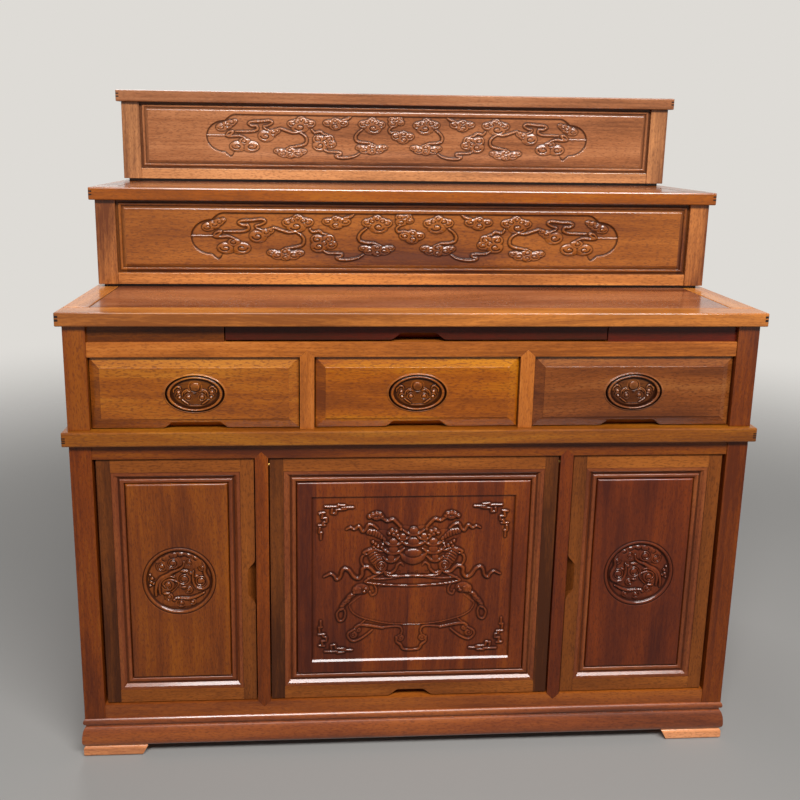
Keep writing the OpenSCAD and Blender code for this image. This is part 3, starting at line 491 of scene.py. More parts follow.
# Lobes of each kind of cloud: across and up in shares of its half sizes, size in shares of its half height,
# and the start and hand of the curl.
cloud_lobes = {
    "crown": ((0, 0.58, 0.42, 90, 1), (-0.6, 0.1, 0.46, 160, 1), (0.6, 0.15, 0.46, 20, -1),
              (-0.3, 0.3, 0.4, 120, 1), (0.3, 0.3, 0.42, 60, -1), (-0.12, -0.3, 0.7, 210, 1)),
    "three": ((0, 0.5, 0.5, 90, 1), (-0.5, -0.22, 0.66, 180, 1), (0.46, -0.22, 0.7, 0, -1)),
    "slant": ((-0.5, -0.4, 0.62, 200, 1), (0.05, 0, 0.6, 100, -1), (0.45, 0.4, 0.5, 60, -1),
              (0.75, 0.68, 0.34, 30, -1)),
    "comma": ((-0.4, -0.25, 0.85, 190, 1), (0.3, 0.3, 0.52, 80, -1), (0.7, 0.6, 0.4, 60, -1)),
    "row": ((-0.72, 0.28, 0.5, 160, 1), (0.72, 0.25, 0.5, 20, -1), (0, 0.4, 0.6, 90, 1),
            (-0.42, -0.12, 0.66, 220, 1), (0.42, -0.12, 0.66, -40, -1), (0, -0.45, 0.55, 270, -1)),
    "four": ((-0.4, 0.42, 0.55, 130, 1), (0.35, 0.45, 0.55, 50, -1), (0.55, -0.12, 0.5, -20, -1),
             (0.12, 0, 0.5, 90, 1), (-0.3, -0.35, 0.66, 210, 1)),
    "fan": ((-0.6, 0.1, 0.55, 160, 1), (0, 0.42, 0.55, 90, 1), (0.58, 0.1, 0.6, 10, -1),
            (-0.02, -0.38, 0.66, 250, -1)),
}


def cloud(work, kind, x, z, wide, tall, hand):
    """A cloud: its lobes, as knobs with a spiral groove and a bead, on a lower base that joins them. Wide
    clouds have wide lobes. The hand -1 mirrors it."""
    stretch = min(1.6, max(1.0, 0.8 * wide / tall))
    for across, up, size, _, _ in cloud_lobes[kind]:
        knob(work, x + across * hand * wide * 0.85, z + up * tall * 0.85,
             (size * tall * stretch * 1.12, size * tall * 1.12), 1.3)
    for across, up, size, start, turn in cloud_lobes[kind]:
        across, turn, start = across * hand, turn * hand, start if hand > 0 else 180 - start
        x1, z1, wide1, tall1 = x + across * wide, z + up * tall, size * tall * stretch, size * tall
        knob(work, x1, z1, (wide1, tall1), 2.3)
        scratch(work, curl(x1, z1, (wide1 * 0.66, tall1 * 0.66), start, turn * 1.1), tall1 * 0.2, 1.2, 0.3)
        knob(work, x1, z1, (wide1 * 0.24, tall1 * 0.24), 1.2, 1.4)


border_half_x, border_half_z, field_half_x, field_half_z = 586, 73.5, 567.9, 55.4
cut_half_x, cut_half_z, cusp_x, cusp_z, ground_depth = 440, 50.5, 397.5, 36.5, 2.6
# The clouds are (kind, x, z, half width, half height, hand), and ribbons join them.
field_clouds = (("slant", -393, 25, 24, 13, 1), ("three", -353, -19, 34, 16, 1),
                ("comma", -296, 5, 24, 14, 1), ("crown", -224, 28, 33, 18, 1), ("row", -249, -35, 39, 12, 1),
                ("four", -173, -12, 30, 18, 1), ("fan", -146, 31, 29, 13, 1), ("crown", -63, 28, 32, 18, -1),
                ("row", -63, -25, 38, 12, -1))
middle_clouds = (("four", -8, 37, 21, 12, 1), ("fan", 9, 3, 25, 14, -1))
field_ribbons = (
    ((-394, 2), (-389, 9), (-379, 11), (-383, 4), (-391, 1), (-381, 0), (-364, 1), (-352, -4), (-351, -9)),
    ((-372, 11), (-351, 11), (-332, 12), (-323, 17), (-326, 24), (-335, 24), (-343, 29), (-336, 33),
     (-317, 34), (-296, 36), (-290, 31), (-300, 25), (-309, 23), (-306, 18), (-296, 14)),
    ((-281, 15), (-273, 19), (-260, 15), (-243, 10), (-229, 11)),
    ((-228, 11), (-218, 5), (-212, -3), (-213, -13), (-221, -18), (-236, -21), (-251, -23)),
    ((-200, 17), (-194, 11), (-181, 13), (-174, 8), (-165, 6)),
    ((-171, -28), (-162, -32), (-137, -33), (-135, -38), (-145, -41), (-137, -45), (-118, -45), (-101, -41),
     (-91, -35)),
    ((-130, 40), (-119, 42), (-111, 47)),
    ((-85, 19), (-94, 12), (-100, 3), (-98, -6), (-87, -10), (-70, -11), (-59, -15)),
)
# A grid of 1.1 mm over the cut field, and a coarser one beside it.
coarse = np.linspace(field_half_x, 447, 16)
across, up = np.meshgrid(np.concatenate([-coarse, np.arange(-445.5, 446, 1.1), coarse[::-1]]),
                         np.concatenate([[-field_half_z], np.arange(-54.45, 55, 1.1), [field_half_z]]),
                         indexing="ij")
# The cut field's outline: straight, then a hollow quarter down to a cusp, then a big round end.
quarter = np.linspace(0, np.pi / 2, 12)
hollow_x, hollow_z = np.array([(0, cut_half_z), (374, cut_half_z), (381, 49), (388, 45), (394, 40)]).T
line_x = np.concatenate([hollow_x, cusp_x + (cut_half_x - cusp_x) * np.sin(quarter)])
line_z = np.concatenate([hollow_z, cusp_z * np.cos(quarter)])
work = carving(across, up)
side = np.stack([line_x, line_z], 1)
outline = np.concatenate([(side * (sx, sz))[::sx * sz] for sx, sz in ((1, 1), (1, -1), (-1, -1), (-1, 1))])
# Carvings that are the same on both sides are carved on the left; then the points change sides, and the
# same is carved again.
for _ in ("left", "right"):
    for item in field_clouds:
        cloud(work, *item)
    for path in field_ribbons:
        rib(work, smooth(path), (1.6, 2.6, 2.6, 1.4), 1.9)
    rib(work, [(-438, 2), (-394, 2)], 0.9, 1.0)
    work.x = -work.x
for item in middle_clouds:
    cloud(work, *item)
rib(work, smooth([(-16, 26), (-23, 19), (-19, 12), (-8, 14), (0, 12)]), (1.6, 2.4, 1.4), 1.9)
# The field's wall is steep, but below it runs out slowly, as the gouge was pushed along.
steep, slow = 1.4, 25.0
pick, away, share = near(work, outline, slow)
length = np.concatenate([[0], np.cumsum(np.hypot(*np.diff(outline, axis=0).T))])
foot_z = np.interp(share * length[-1], length, outline[:, 1])
slope = np.ones(across.size)
run = np.interp(foot_z, [-50.4, -47], [slow, steep])
slope[pick] = 0.5 - 0.5 * np.cos(np.pi * np.minimum(away / run, 1))
inside = abs(work.z) < np.interp(abs(work.x), line_x, line_z)
field_height = np.where(inside, 1.25 * work.high - ground_depth * slope, 0).reshape(across.shape)

# The border's section as (depth behind the rail, distance in from the edge, painted shade there): a
# groove, a round bead, a quirk; the groove and the feet of the bead are painted darker.
turn = np.linspace(0, np.pi, 13)
bead = np.stack([3 - 3 * np.sin(turn), 8 - 3 * np.cos(turn), 0.3 * (1 - np.sin(turn)) ** 2], 1)
section = np.concatenate([[(16, 0, 0.3), (3, 0, 0.3)], bead, [(3, 14, 0.2), (1, 18, 0), (16, 18, 0)]])


def border(name, section, half_x, half_z, middle_x, middle_z, face):
    """A section carried round a rectangle, mitred at its four corners: each corner is moved in both ways by
    the distance that the section's point lies in from the edge, and back by its depth."""
    corners = np.array([(-1, -1), (1, -1), (1, 1), (-1, 1)])[:, None]
    inset = section[None, :, 1:2]
    flat = corners * (np.array([half_x, half_z]) - inset) + (middle_x, middle_z)
    points = np.stack([flat[..., 0], np.broadcast_to(face + section[:, 0], flat.shape[:2]), flat[..., 1]], -1)
    index = np.arange(points.size // 3).reshape(points.shape[:2])
    on, after = np.roll(index, -1, 0), np.roll(index, -1, 1)
    faces = np.stack([index, on, np.roll(on, -1, 1), after], -1).reshape(-1, 4)
    return solid(name, points.reshape(-1, 3), [faces], 1, 35, np.tile(section[:, 2], len(corners)))


step_shades = {"lower": ("#602f12", "#bf753a", "#e89d4d"), "upper": ("#5f341d", "#b87a4a", "#e6a36a")}
field_shades = {"lower": ("#481e10", "#834614", "#9f5c21"), "upper": ("#552a11", "#905630", "#ad7046")}
shelf_shades = {"lower": ("#5f2e09", "#8b4609", "#a25d10"), "upper": ("#61371c", "#905835", "#a9734d")}
for step, front, low, darker in (("lower", -105, 1054, -0.28), ("upper", 135, 1255, -0.2)):
    y0, rail_face, middle = front / 1000, front + 12, low - border_half_z
    finish_node(f"{step}_step_pads", strip)
    posts, inner, rear = (0, 0.586, 0.63), y0 + 0.0495, 0.291
    upright = [(2, (posts, (1, y0, inner))), (2, (posts, (1, rear, 0.34))), (1, (posts, (1, inner, rear)))]
    frame_wood = wood(f"rosewood_{step}_step", step_shades[step], 0, upright, uprights=(darker, darker),
                      spread=0.5)
    finish_node(f"{step}_step_frame", frame_wood)
    side_boards = [(1, ((0, 0.6, 0.63),))]
    finish_node(f"{step}_step_panels", wood(f"rosewood_{step}_panels", post_shades, 0, side_boards))
    between = (1, y0 + 0.048, 0.292)
    ends, joint_line = [(1, ((0, 0.588, 0.64), between))], ((0, 0.5858, 0.5885), between)
    combs = corner_combs(low / 1000, y0, (0.0092, 0.0156), 0.003)
    shelf_wood = wood(f"rosewood_{step}_shelf", shelf_shades[step], 0, ends, combs=[*combs, joint_line],
                      gloss=0.28)
    finish_node(f"{step}_shelf_frame", shelf_wood, rounded)
    panel_wood = wood(f"rosewood_{step}_shelf_panel", top_shades, combs=[joint_line], gloss=0.26, coat=0.75)
    finish_node(f"{step}_shelf_panel", panel_wood, crisp)
    made = carved_plate(f"{step}_carved_field", across, up + middle, field_height, rail_face + 1,
                        rail_face + 15)
    field_wood = wood(f"rosewood_{step}_field", field_shades[step], carved=0.8)
    finish_piece(made, field_wood, "cabinet", "frame_wood", f"{step}_step_front")
    made = border(f"{step}_field_border", section, border_half_x, border_half_z, 0, middle, rail_face)
    border_wood = wood(f"rosewood_{step}_border", field_shades[step], 0, [(2, ((0, 0.568, 0.6),))],
                       carved=0.7)
    finish_piece(made, border_wood, "cabinet", "frame_wood", f"{step}_step_front")

# Drawers. Plain boxes run on side guides behind thick fronts with bevelled edges, which are pulled by a
# finger scoop below. Each front has an oval with a rounded rim, and in it a ball over two lying clouds and
# side curls.
front_shades = {"left": ("#5d2d11", "#8d4a11", "#ae6b1e"), "middle": ("#612c0a", "#924b0a", "#b16c0a"),
                "right": ("#4e240e", "#773e17", "#925829")}
box_shades = ("#8a6038", "#b58a56", "#cfa874")
oval_x, oval_z, ring_x, ring_z, ring_mean = 56.5, 39, 50.2, 32.7, 41.5
share, angle = np.meshgrid(np.arange(1, 79) / 78, np.arange(256) * 2 * np.pi / 256, indexing="ij")
across, up = share * oval_x * np.cos(angle), share * oval_z * np.sin(angle)
work = carving(across, up)
# How far a point lies out from the ring's outer edge, measured along the mean of its half axes.
rim = (np.hypot(across / ring_x, up / ring_z).ravel() - 1) * ring_mean
dish = -3 + 1.3 * np.sqrt(np.clip(1 - (work.x / 47) ** 2 - (work.z / 29.5) ** 2, 0, 1))
scratch(work, curl(0, 12, 9, 0, 1, 1.0), 1.8, 1.2, -1.2)
knob(work, 0, 12, 8, 2.4)
for _ in ("left", "right"):
    for x, z, size in ((-12, -7, 5.2), (-29.5, 1.5, 4.6), (-28, -8, 3.8)):
        knob(work, x, z, size * 1.25, 1.2)
        scratch(work, curl(x, z, size * 0.9, 90, 1, 1.0), size * 0.24, 1.2)
        knob(work, x, z, size * 0.5, 1.7, 0.5)
    for path in (((-19, 0), (-16, 4), (-12, 5), (-8, 3)), ((-23, -5), (-22, 1), (-17, 6), (-12, 8)),
                 ((-36, 8), (-33, 12), (-28, 12), (-25, 8)), ((-38, 2), (-38, 7), (-34, 11)),
                 ((-23, -12), (-18, -16), (-12, -20)), ((-33, -5), (-30, -2), (-26, -3))):
        rib(work, smooth(path), (0.8, 1.7, 0.8), 1.8)
    work.x = -work.x
scratch(work, [(-11, -21.5), (11, -21.5)], 0.9, 0.8)
# A round ring, a dark quirk outside it, and a thin lip that falls to the field.
ring_high = 1.2 + 1.9 * np.sqrt(1 - np.minimum(abs(rim + 3.0) / 2.3, 1) ** 2)
lip = 1.2 + 0.7 * np.sqrt(1 - np.minimum(abs(rim - 2.9) / 1.0, 1) ** 2)
lip = np.where(rim < 3.4, lip, np.interp(rim, [3.4, 4.2, 4.8], [1.72, 0.8, 0.12]))
height = np.where(rim < -5.7, dish + work.high, np.where(rim < -0.6, ring_high, lip))
# The dish, its wall and the quirk outside the ring are painted darker, and the foot of the lip lighter:
# painted shade and a painted highlight.
painted_shade = np.interp(rim, [-11, -8, -6.4, -5.4, -4.8, -4.0, -2.0, -1.0, -0.4, 1.8, 2.5, 4.4],
                  [0.2, 0.4, 1.0, 1.5, 0.9, 0.3, 0.3, 0.7, 1.2, 1.2, 0.2, -0.4])
drawer_z = 727.5
for side, x in (("left", -399.33), ("middle", 0.0), ("right", 399.33)):
    # The top and right bevels are painted lighter, the bottom and left ones darker: painted light and shade.
    bevels = 0.018, (x / 1000, 0.18467, -0.22, 0.1), (drawer_z / 1000, 0.0655, -0.1, 0.2)
    front_wood = wood(f"rosewood_drawer_{side}", front_shades[side], facets=bevels, spread=0.7, pores=0.6,
                      carved=0.9)
    finish_node(f"drawer_front_{side}", front_wood, crisp)
    finish_node(f"drawer_box_{side}", wood(f"plain_drawer_box_{side}", box_shades, 1))
    made = carved_plate(f"drawer_oval_{side}", across + x, up + drawer_z, height.reshape(across.shape),
                        -327.0, -323.4, True, painted_shade.reshape(across.shape))
    finish_piece(made, front_wood, f"drawer_{side}", "front_wood")

# Pull-out board. A dark board of heartwood with a rounded front edge slides in the slot under the table top,
# between plain rails. Its lacquer is thin and worn, so that it looks dull beside the top.
finish_node("pull_out_board", wood("rosewood_pull_out", ("#2d1508", "#471508", "#5d1908"), coat=0.35))

# Doors. Mitred frames, moulded towards the panel, hold raised panels glued up from boards. The side doors'
# panels have a round dish with leafy scrolls; the middle one, a flap, has a sunk square with a treasure
# bowl.
door_shades = ("#41200f", "#83461a", "#b36a2a")
moulding_shades = ("#481f0f", "#783b1c", "#9c5929")
panel_shades = {"left": ("#4a1f0d", "#72360d", "#8d4a0d"), "right": ("#3d140a", "#5c230a", "#74300a")}
# The moulding's section as (depth, distance in from the door's edge, painted shade): a step, a falling
# bevel, a quirk and a bead; the step, the quirk and the feet of the bead are painted darker.
turn = np.linspace(0.1 * np.pi, 0.94 * np.pi, 14)
moulding = np.concatenate([
    [(9, 25.1, 0.3), (0.7, 25.1, 0.3), (0.7, 26.4, 0), (0.7, 31.6, 0), (4.7, 35.6, 0), (5.2, 36.1, 0.2),
     (5.4, 36.4, 0.3), (5.6, 39.1, 0.3)],
    np.stack([6.6 - 3.2 * np.sin(turn), 43.4 - 4.0 * np.cos(turn), 0.3 * (1 - np.sin(turn)) ** 2], 1),
    [(7.0, 47.6, 0.3), (7.6, 48.2, 0.3), (8.4, 48.9, 0.3), (9, 48.9, 0.3)]])
door_x, door_z, door_half_z = 439.25, 356, 246.5
for side, x, half, tones in (("left", -door_x, 141.75, (-0.4, -0.1)), ("middle", 0.0, 268.5, (-0.42, -0.42)),
                             ("right", door_x, 141.75, (-0.25, -0.2))):
    frame_of = (x / 1000, door_z / 1000, half / 1000, door_half_z / 1000, 0.025, 0.05)
    door_wood = wood(f"rosewood_door_{side}", door_shades, 0, mitres=frame_of, uprights=tones, spread=0.4,
                     coat=0.22)
    finish_node(f"door_frame_{side}", door_wood, crisp)
    made = border(f"door_moulding_{side}", moulding, half, door_half_z, x, door_z, -324)
    moulded = wood(f"rosewood_moulding_{side}", moulding_shades, mitres=frame_of, spread=0.6, coat=0.45,
                   carved=0.7)
    finish_piece(made, moulded, f"door_{side}", "door_wood")

# Door panels. Each is glued up from boards and lies loose in the grooves of its frame. Its raised field
# rounds down to a low edge over its last millimetres.
panel_face, panel_rear, raised, low_edge, rounding = -316, -306, 5.4, 1.2, 4.6
inset = np.array([rounding, 4.1, 3.5, 2.8, 2.1, 1.5, 0.95, 0.5, 0.2, 0.0])
edge_lift = low_edge + (raised - low_edge) * np.sqrt(1 - (1 - inset / rounding) ** 2)
# Side panels: rings round the dish go over into the rectangle of the panel, whose corners are points of
# each ring.
half_x, above, below, round_z = 92.75, 194, 201, 359.5
corner = np.arctan2((above, above, -below, -below), (half_x, -half_x, -half_x, half_x)) % (2 * np.pi)
angle = np.unique(np.concatenate([np.arange(420) * 2 * np.pi / 420, corner]))
# The scrolls are laid out for a round of 67 mm and drawn a little smaller.
drawn = 0.96
ring = np.arange(1, 76) * drawn
tall = np.where(np.sin(angle) > 0, above, below)
reach = np.minimum(half_x / np.maximum(abs(np.cos(angle)), 1e-9), tall / np.maximum(abs(np.sin(angle)), 1e-9))
edge_x, edge_z = reach * np.cos(angle), reach * np.sin(angle)
inner_x, inner_z = edge_x * (1 - rounding / half_x), edge_z * (1 - rounding / tall)
share = np.array([0.15, 0.4, 0.7])[:, None]
across, up = (np.concatenate([ring[:, None] * turn, ring[-1] * turn * (1 - share) + inner * share,
                              edge * (1 - inset[:, None] / size)])
              for turn, inner, edge, size in ((np.cos(angle), inner_x, edge_x, half_x),
                                              (np.sin(angle), inner_z, edge_z, tall)))
lift = np.concatenate([np.full(len(ring) + len(share), raised), edge_lift])[:, None]
# The foot of the raised edge, by the frame, is painted darker: painted shade.
painted_shade = np.concatenate([np.zeros(len(lift) - 3), [0.1, 0.3, 0.3]])[:, None]
radius = np.hypot(across, up) / drawn
# The stems are (path, half widths).
stems = (
    (((-46, -31), (-46, -18), (-42, -4), (-34, 6), (-22, 12), (-12, 19), (0, 24), (8, 31), (10, 40)),
     (1.6, 3.6, 3.8, 2.6, 1.6)),
    (((-38, -28), (-39, -14), (-36, -2), (-28, 6), (-18, 10), (-9, 8)), (1.2, 2.6, 2.6, 1.4)),
    (((-9, -37), (6, -37), (18, -38), (32, -34), (47, -26)), (1.2, 2.8, 2.8, 1.2)),
    (((27, 20), (26, 6), (28, -6), (33, -15), (43, -18), (52, -14), (56, -6), (54, 4), (49, 16), (50, 32),
      (44, 43)), (1.2, 2.6, 3.0, 2.6, 1.6)),
    (((-26, -14), (-32, -6), (-27, 1), (-15, 3), (-2, -4), (-6, -14), (-15, -23)), (1.4, 2.0, 1.2)),
)
for side, hand in (("left", 1), ("right", -1)):
    work = carving(across / drawn * hand, up / drawn)
    for x, z, size in ((-20, 38, (26, 16)), (-30, -8, (19, 20)), (40, -4, (19, 22)), (8, 2, (18, 20)),
                       (22, 38, (24, 14)), (0, -46, (34, 11))):
        knob(work, x, z, size, 1.1)
    for x, z, size in ((-40, 44, 9), (-27, 50, 9), (-12, 55, 9), (3, 58, 8), (19, 56, 8), (33, 50, 8)):
        knob(work, x, z, (size * 1.05, size * 0.8), 1.6, 0.4)
        scratch(work, curl(x, z - 3, size * 0.62, 90, 0.5, 1.0), 1.4, 0.9, 0.3)
    for x, z, size in ((-12, 37, 13), (-34, 30, 10), (41, -2, 15), (9, 3, 14), (20, 38, 8.5), (17, -20, 8),
                       (2, -48, 9.5), (-21, -35, 8), (-23, -9, 13), (24, -46, 7), (45, 27, 8)):
        knob(work, x, z, size, 1.8, 0.5)
        scratch(work, curl(x, z, size * 0.82, 70, 1.7, 0.42), size * 0.11, 1.3, 0.4)
        knob(work, x, z, size * 0.3, 1.3, 1.6)
    for path, wide in stems:
        rib(work, smooth(path), wide, 1.9, 1.1)
    for x, z, size in ((10, 20, (8, 3)), (22, 15, (3, 3)), (8, -14, (5, 2.6)), (-26, -27, (7, 2.6)),
                       (-11, -41, (3, 3)), (-57, 13, 2.6), (-53, 5, 3), (-55, -3, 2.8), (-50, -6, 2.2),
                       (-57, -10, 2.4), (33, 9, (4, 2.4))):
        knob(work, x, z, size, 1.8, 1.1)
    # A groove and a rounded rim go round the dish, and the scrolls fade out at its wall.
    height = 1.3 * work.high.reshape(across.shape) * np.clip((61 - radius) / 3, 0, 1)
    height -= 3 * np.clip((65.5 - radius) / 3, 0, 1)
    height += 0.7 * np.sqrt(np.clip(1 - ((radius - 67) / 2.6) ** 2, 0, 1))
    height -= 1.5 * np.exp(-((radius - 70.6) / 0.9) ** 2)
    made = carved_plate(f"scroll_panel_{side}", across - door_x * hand, up + round_z, height, panel_face,
                        panel_rear, True, painted_shade, lift)
    panel_wood = wood(f"rosewood_panel_{side}", panel_shades[side], 2, carved=0.8, streak=0.2, coat=0.5)
    finish_piece(made, panel_wood, f"door_{side}", "panel_wood", f"door_panel_{side}")

# Middle panel. Its square is sunk with a gouge and leaves the treasure bowl standing. The grid is even, with
# closer lines at the walls of the square.
half_x, above, below, bowl_z = 219.5, 199.5, 195.5, 354
wall_x = np.array([205, 194, 192.6, 192.4, 191.6, 190.9, 190.7, 186])
wall_z = np.array([184, 172, 170.6, 170.4, 170.1, 168.8, 167.5, 167.2, 167.0, 163.5])
lines_x = [inset[::-1] - half_x, -wall_x, np.arange(-182.6, 183, 1.1), wall_x[::-1], half_x - inset]
lines_z = [inset[::-1] - below, -wall_z, np.arange(-159.6, 160, 1.2), wall_z[::-1], above - inset]
across, up = np.meshgrid(np.concatenate(lines_x), np.concatenate(lines_z), indexing="ij")
outside = np.minimum(half_x - abs(across), np.minimum(above - up, below + up))
lift = np.interp(outside, inset[::-1], edge_lift[::-1])
# The low outer edge of the panel is painted darker: painted shade.
painted_shade = 0.3 * (outside < 0.6)
work = carving(across, up)
# The ingots in the bowl are (x, z, half width, depth); the ribs are (path, half widths, height, base).
ingots = ((0, 100, 20, 10), (-20, 89, 15, 8), (0, 79, 26, 11), (-38, 78, 19, 9), (-38, 63, 21, 11),
          (0, 55, 27, 21), (-42, 46, 16, 10))
bowl_ribs = (
    # the swelling bowl, its neck and its rim
    (((-100, -34), (-112, -44), (-120, -52), (-115, -66), (-103, -76), (-88, -82), (-60, -90), (-30, -94),
      (2, -95)), (0.9, 1.2, 1.2, 0.9), 0.7, 0.5),
    (((-73, -11), (-69, -21), (-71, -29), (-78, -32), (-81, -25)), (1.0, 2.2, 1.6), 1.5, 0.6),
    (((-91, -4), (-83, -7), (-55, -11), (-26, -13), (2, -14)), (2.2, 1.7, 1.4), 1.9, 0),
    (((-85, 3), (-61, 1), (-36, 3), (-17, 6), (2, 7)), (1.8, 1.5, 1.2), 1.6, 0),
    # ribbons, from the top down
    (((-25, 108), (-33, 117), (-40, 123), (-50, 120), (-57, 124), (-64, 127), (-69, 124), (-77, 127),
      (-85, 131)), (2.8, 3.2, 2.4, 1.8), 3.0, 0),
    (((-68, 104), (-76, 111), (-85, 113), (-90, 104), (-96, 99), (-100, 105), (-104, 110), (-112, 104),
      (-119, 108), (-127, 104)), (2.0, 2.8, 2.6, 1.3), 2.6, 0),
    (((-52, 23), (-61, 14), (-72, 15), (-80, 23), (-88, 27), (-96, 22), (-97, 10), (-104, 3), (-113, 8),
      (-121, 20), (-130, 24), (-135, 18), (-138, 7), (-145, 2), (-149, 9), (-156, 14), (-163, 11),
      (-169, 8)), (2.2, 3.2, 3.4, 3.4, 3.0, 2.6, 1.4), 3.0, 0),
    (((-58, 15), (-71, 8), (-83, 2), (-91, -3)), (1.6, 2.6, 1.6), 2.0, 0),
    (((-50, 63), (-61, 59), (-74, 63), (-85, 61), (-94, 56), (-88, 53), (-84, 57)), (2.4, 3.0, 2.8, 1.6),
     2.8, 0),
    (((-90, 53), (-97, 47), (-98, 36), (-93, 27)), (1.6, 2.4, 1.4), 1.8, 0),
    # horns and rolls of cloth
    (((-84, 98), (-74, 96), (-64, 90), (-54, 82)), (5.5, 6.5, 5.0, 2.4), 2.2, 0.8),
    (((-78, 56), (-72, 46), (-64, 34)), (9, 12, 11), 2.4, 0.9),
    # the cloth over the rim
    (((2, 8), (-17, 7), (-36, 7), (-50, 10), (-55, 18)), (1.6, 2.0, 2.2), 1.4, 1.4),
    (((-55, 18), (-43, 13), (-33, 21), (-30, 30), (-23, 35), (-18, 29)), (1.6, 2.4, 2.0, 1.2), 1.6, 1.4),
    # straps and their rings
    (((-113, -30), (-119, -34), (-124, -43), (-130, -48), (-134, -57)), (4.4, 5.0, 4.6, 4.2), 1.8, 0),
    (((-137, -60), (-144, -70), (-142, -82), (-137, -86), (-130, -81), (-128, -68), (-131, -60)),
     (1.4, 2.0, 1.6), 1.9, 0),
    # the stand with its scrolled feet
    (((-56, -101), (-36, -99), (-23, -100), (-18, -108), (-20, -118)), (1.4, 1.8, 1.4), 1.5, 0),
    (((-55, -102), (-69, -99), (-85, -96), (-100, -95), (-108, -100)), (2.4, 3.0, 2.4), 1.9, 0),
    (((-88, -82), (-93, -88), (-100, -94)), (1.2, 1.4, 1.2), 1.2, 0),
    (((-110, -104), (-121, -111), (-122, -120), (-113, -129), (-100, -125), (-87, -116), (-76, -106)),
     (1.6, 2.2, 2.0, 1.4), 1.8, 0),
    (((-29, -122), (-28, -132), (-20, -139), (-15, -148), (2, -150)), (1.6, 2.4, 2.2, 1.8), 1.9, 0),
)
corner_frets = (((-167, 150), (-143, 150)), ((-143, 144), (-128, 145)), ((-143, 153), (-130, 152)),
                ((-135, 148), (-114, 148)), ((-154, 145), (-155, 137), (-147, 136), (-146, 143)),
                ((-171, 138), (-173, 127), (-164, 127), (-164, 120), (-170, 118), (-172, 113)),
                ((-178, 137), (-168, 138)), ((-179, 113), (-167, 113)), ((-177, 108), (-178, 98), (-173, 98)),
                ((-175, 96), (-175, 85)))
for _ in ("left", "right"):
    for x, z, size, high in ((-20, 84, (34, 26), 1.4), (-30, 60, (44, 26), 1.6), (-22, 38, (42, 28), 1.5),
                             (-62, 90, (26, 12), 0.9), (-60, 48, (26, 26), 1.2), (-12, -54, (108, 40), 1.3),
                             (-98, -19, (15, 11), 2.0)):
        knob(work, x, z, size, high)
    for path, wide, high, base in bowl_ribs:
        rib(work, smooth(path), wide, high, base)
    for k in range(6):
        x, z = -82 + 5 * k, 98.5 - 2.7 * k
        scratch(work, [(x, z + 6), (x - 3, z - 6.5)], 1.0, 1.3, 1.0)
    for x, z, half, deep in ingots:
        boat = [(x - half, z + 2), (x - 0.55 * half, z - 0.5 * deep), (x, z - 0.72 * deep),
                (x + 0.55 * half, z - 0.5 * deep), (x + half, z + 2)]
        rib(work, smooth(boat), (0.8, deep * 0.32, deep * 0.42, deep * 0.32, 0.8), 2.6, 1.5)
        knob(work, x, z, (half * 0.42, deep * 0.72) if deep < 20 else (half * 0.6, deep * 0.4), 2.6, 1.9)
    for x, z, size in ((-84, 129, 3.6), (-78, 133, 4.2), (-71, 135, 4.4), (-64, 134, 4), (-60, 129, 3.4),
                       (-73, 127, 4.4), (-66, 128, 4), (-41, 100, 4), (-33, 98, 4), (-38, 93, 4),
                       (-46, 95, 3.6), (-30, 91, 3.6), (-77, 78, 3), (-72, 74, 3.2), (-75, 68, 3),
                       (-67, 68, 3.2), (-60, 67, 3), (-58, 73, 2.6), (-24, 103, 3.2)):
        knob(work, x, z, size, 2.4, 1.7)
    for k in range(5):
        x, z = -77 + 3.2 * k, 56 - 4.6 * k
        scratch(work, smooth([(x - 9, z - 6), (x - 1, z + 1), (x + 10, z + 4)]), 1.2, 1.5, 1.2)
    knob(work, -61, 30, 12, 2.6, 1.3)
    scratch(work, curl(-61, 30, 9.5, 60, 2.1, 0.12), 1.3, 1.6, 1.3)
    knob(work, -105, -21, (9.5, 8.5), 2.2, 1.0)
    for x, z, size in ((-108, -18, 2.2), (-100, -17, 2.2), (-104, -24, (4, 1.8)), (-92, -24, 3),
                       (-89, -18, 2.6), (-111, -26, 2.6)):
        knob(work, x, z, size, 1.4, 2.4)
    for x, z in ((-117, -31), (-121, -37), (-126, -42), (-129, -48), (-133, -53), (-135, -60)):
        knob(work, x, z, (5.4, 2.5), 1.9, 1.3, 30)
    for x, z, size in ((-112, -115, 8), (-103, -105, 5.5), (-21, -124, 7)):
        knob(work, x, z, size, 2.0)
        scratch(work, curl(x, z, size * 0.66, 90, 1.2, 0.2), size * 0.16, 1.3, 0.3)
    for x, z in ((-26, 16), (-8, 15)):
        scratch(work, curl(x, z, 2.2, 0, 1, 1.0), 0.8, 0.8)
    for path in corner_frets:
        for flip in (1, -1):
            rib(work, np.array(path) * (1, flip), 2.1, 2.2)
    work.x = -work.x
# The square has steep walls at the top and sides and one at 45 degrees below, which mirrors the lamp.
square_x, square_z, deep = 192.5, 170.5, 3.4
wall, low_wall = np.minimum(square_x - abs(across), square_z - up) / (deep / 2), (square_z + up) / deep
lift -= deep * np.clip(np.minimum(wall, low_wall), 0, 1)
# A line at the foot of the square's top and side walls is painted darker: painted shade.
painted_shade += 0.3 * (abs(wall - 1.15) < 0.45) * (low_wall > 1.5)
made = carved_plate("bowl_panel", across, up + bowl_z, 1.25 * work.high.reshape(across.shape), panel_face,
                    panel_rear, False, painted_shade, lift)
panel_wood = wood("rosewood_panel_middle", ("#44180b", "#692b0b", "#86400b"), 2, boards=(-0.007, 0.088, 0.42),
                  carved=0.7, streak=0.2, coat=0.5)
finish_piece(made, panel_wood, "door_middle", "panel_wood", "door_panel_middle")

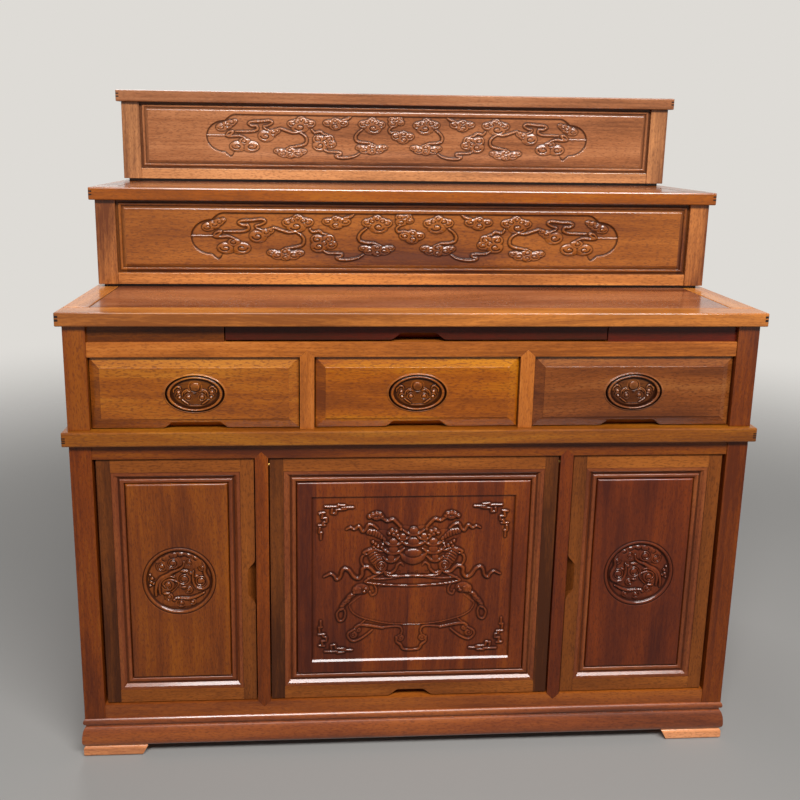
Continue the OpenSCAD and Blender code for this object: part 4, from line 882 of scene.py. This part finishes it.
# Room. A pale matt floor, which fades out into the pale room around it, one long soft lamp above and in
# front of the cabinet, a little to the right, and a weak one behind it. Polished wood reflects the pale
# room too.
scene = bpy.context.scene
world = bpy.data.worlds.new("room")
scene.world = world
world.use_nodes = True
tree = world.node_tree
seen = add(tree, "LightPath")
shown = add(tree, "Math", {0: seen["Is Camera Ray"], 1: seen["Is Transmission Ray"]}, operation="MAXIMUM")[0]
shown = add(tree, "Math", {0: shown, 1: seen["Is Glossy Ray"]}, operation="MAXIMUM")[0]
pale = add(tree, "Background", {0: srgb("#dedbd6"), 1: 1.0})[0]
fill = add(tree, "Background", {0: srgb("#e6e8ea"), 1: 0.2})[0]
both = add(tree, "MixShader", {0: shown, 1: fill, 2: pale})[0]
feed(tree, tree.nodes["World Output"], {0: both})

floor_mesh = bpy.data.meshes.new("floor")
floor_mesh.from_pydata([(-5.5, -6, 0), (5.5, -6, 0), (5.5, 5, 0), (-5.5, 5, 0)], [], [(0, 1, 2, 3)])
floor = bpy.data.objects.new("floor", floor_mesh)
scene.collection.objects.link(floor)
paint, tree, surface = blank("pale_floor")
spot = add(tree, "TexCoord")["Object"]
away = add(tree, "VectorMath", {0: spot, 1: (0, -1, 0)}, operation="DISTANCE")["Value"]
kept = add(tree, "MapRange", {0: away, 1: 2.0, 2: 4.3, 3: 1.0, 4: 0.0}, interpolation_type="SMOOTHSTEP")[0]
feed(tree, surface, {"Base Color": srgb("#908e8b"), "Roughness": 0.9, "Specular IOR Level": 0.1,
                     "Alpha": kept})
floor_mesh.materials.append(paint)
floor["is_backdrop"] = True


def lamp(name, place, aim, size, power):
    """A soft rectangular lamp at place, facing aim."""
    data = bpy.data.lights.new(name, "AREA")
    data.shape, data.size, data.size_y, data.energy = "RECTANGLE", *size, power
    made = bpy.data.objects.new(name, data)
    made.location = place
    made.rotation_euler = (Vector(aim) - Vector(place)).to_track_quat("-Z", "Y").to_euler()
    scene.collection.objects.link(made)
    return made


lamp("ceiling_lamp", (0.4, -2.3, 3.0), (0, 0.0, 0.7), (3.0, 0.6), 175)
# This wide one shows only as a sheen in the polish, as a bright ceiling does; it sheds no light of its own.
lamp("ceiling_sheen", (0.2, -2.15, 3.05), (0, 0.0, 0.6), (3.4, 1.1), 105).visible_diffuse = False
lamp("back_lamp", (-0.9, 2.9, 3.0), (0, 0.3, 0.6), (1.6, 1.6), 55)

# Camera. It stands at the left of the middle, above the table top, and looks slightly down. Its place, lens
# and shift are those that the cabinet's edges in the photograph call for.
eye = bpy.data.cameras.new("camera")
eye.lens, eye.sensor_width = 35.55, 36
eye.shift_x, eye.shift_y = 0.0371, -0.14
camera = bpy.data.objects.new("camera", eye)
scene.collection.objects.link(camera)
scene.camera = camera
camera.location, camera.rotation_euler = (-0.1655, -1.6932, 1.1749), (1.3869807, -0.0129777, -0.0539873)
scene.view_settings.view_transform = "Standard"

low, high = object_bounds()
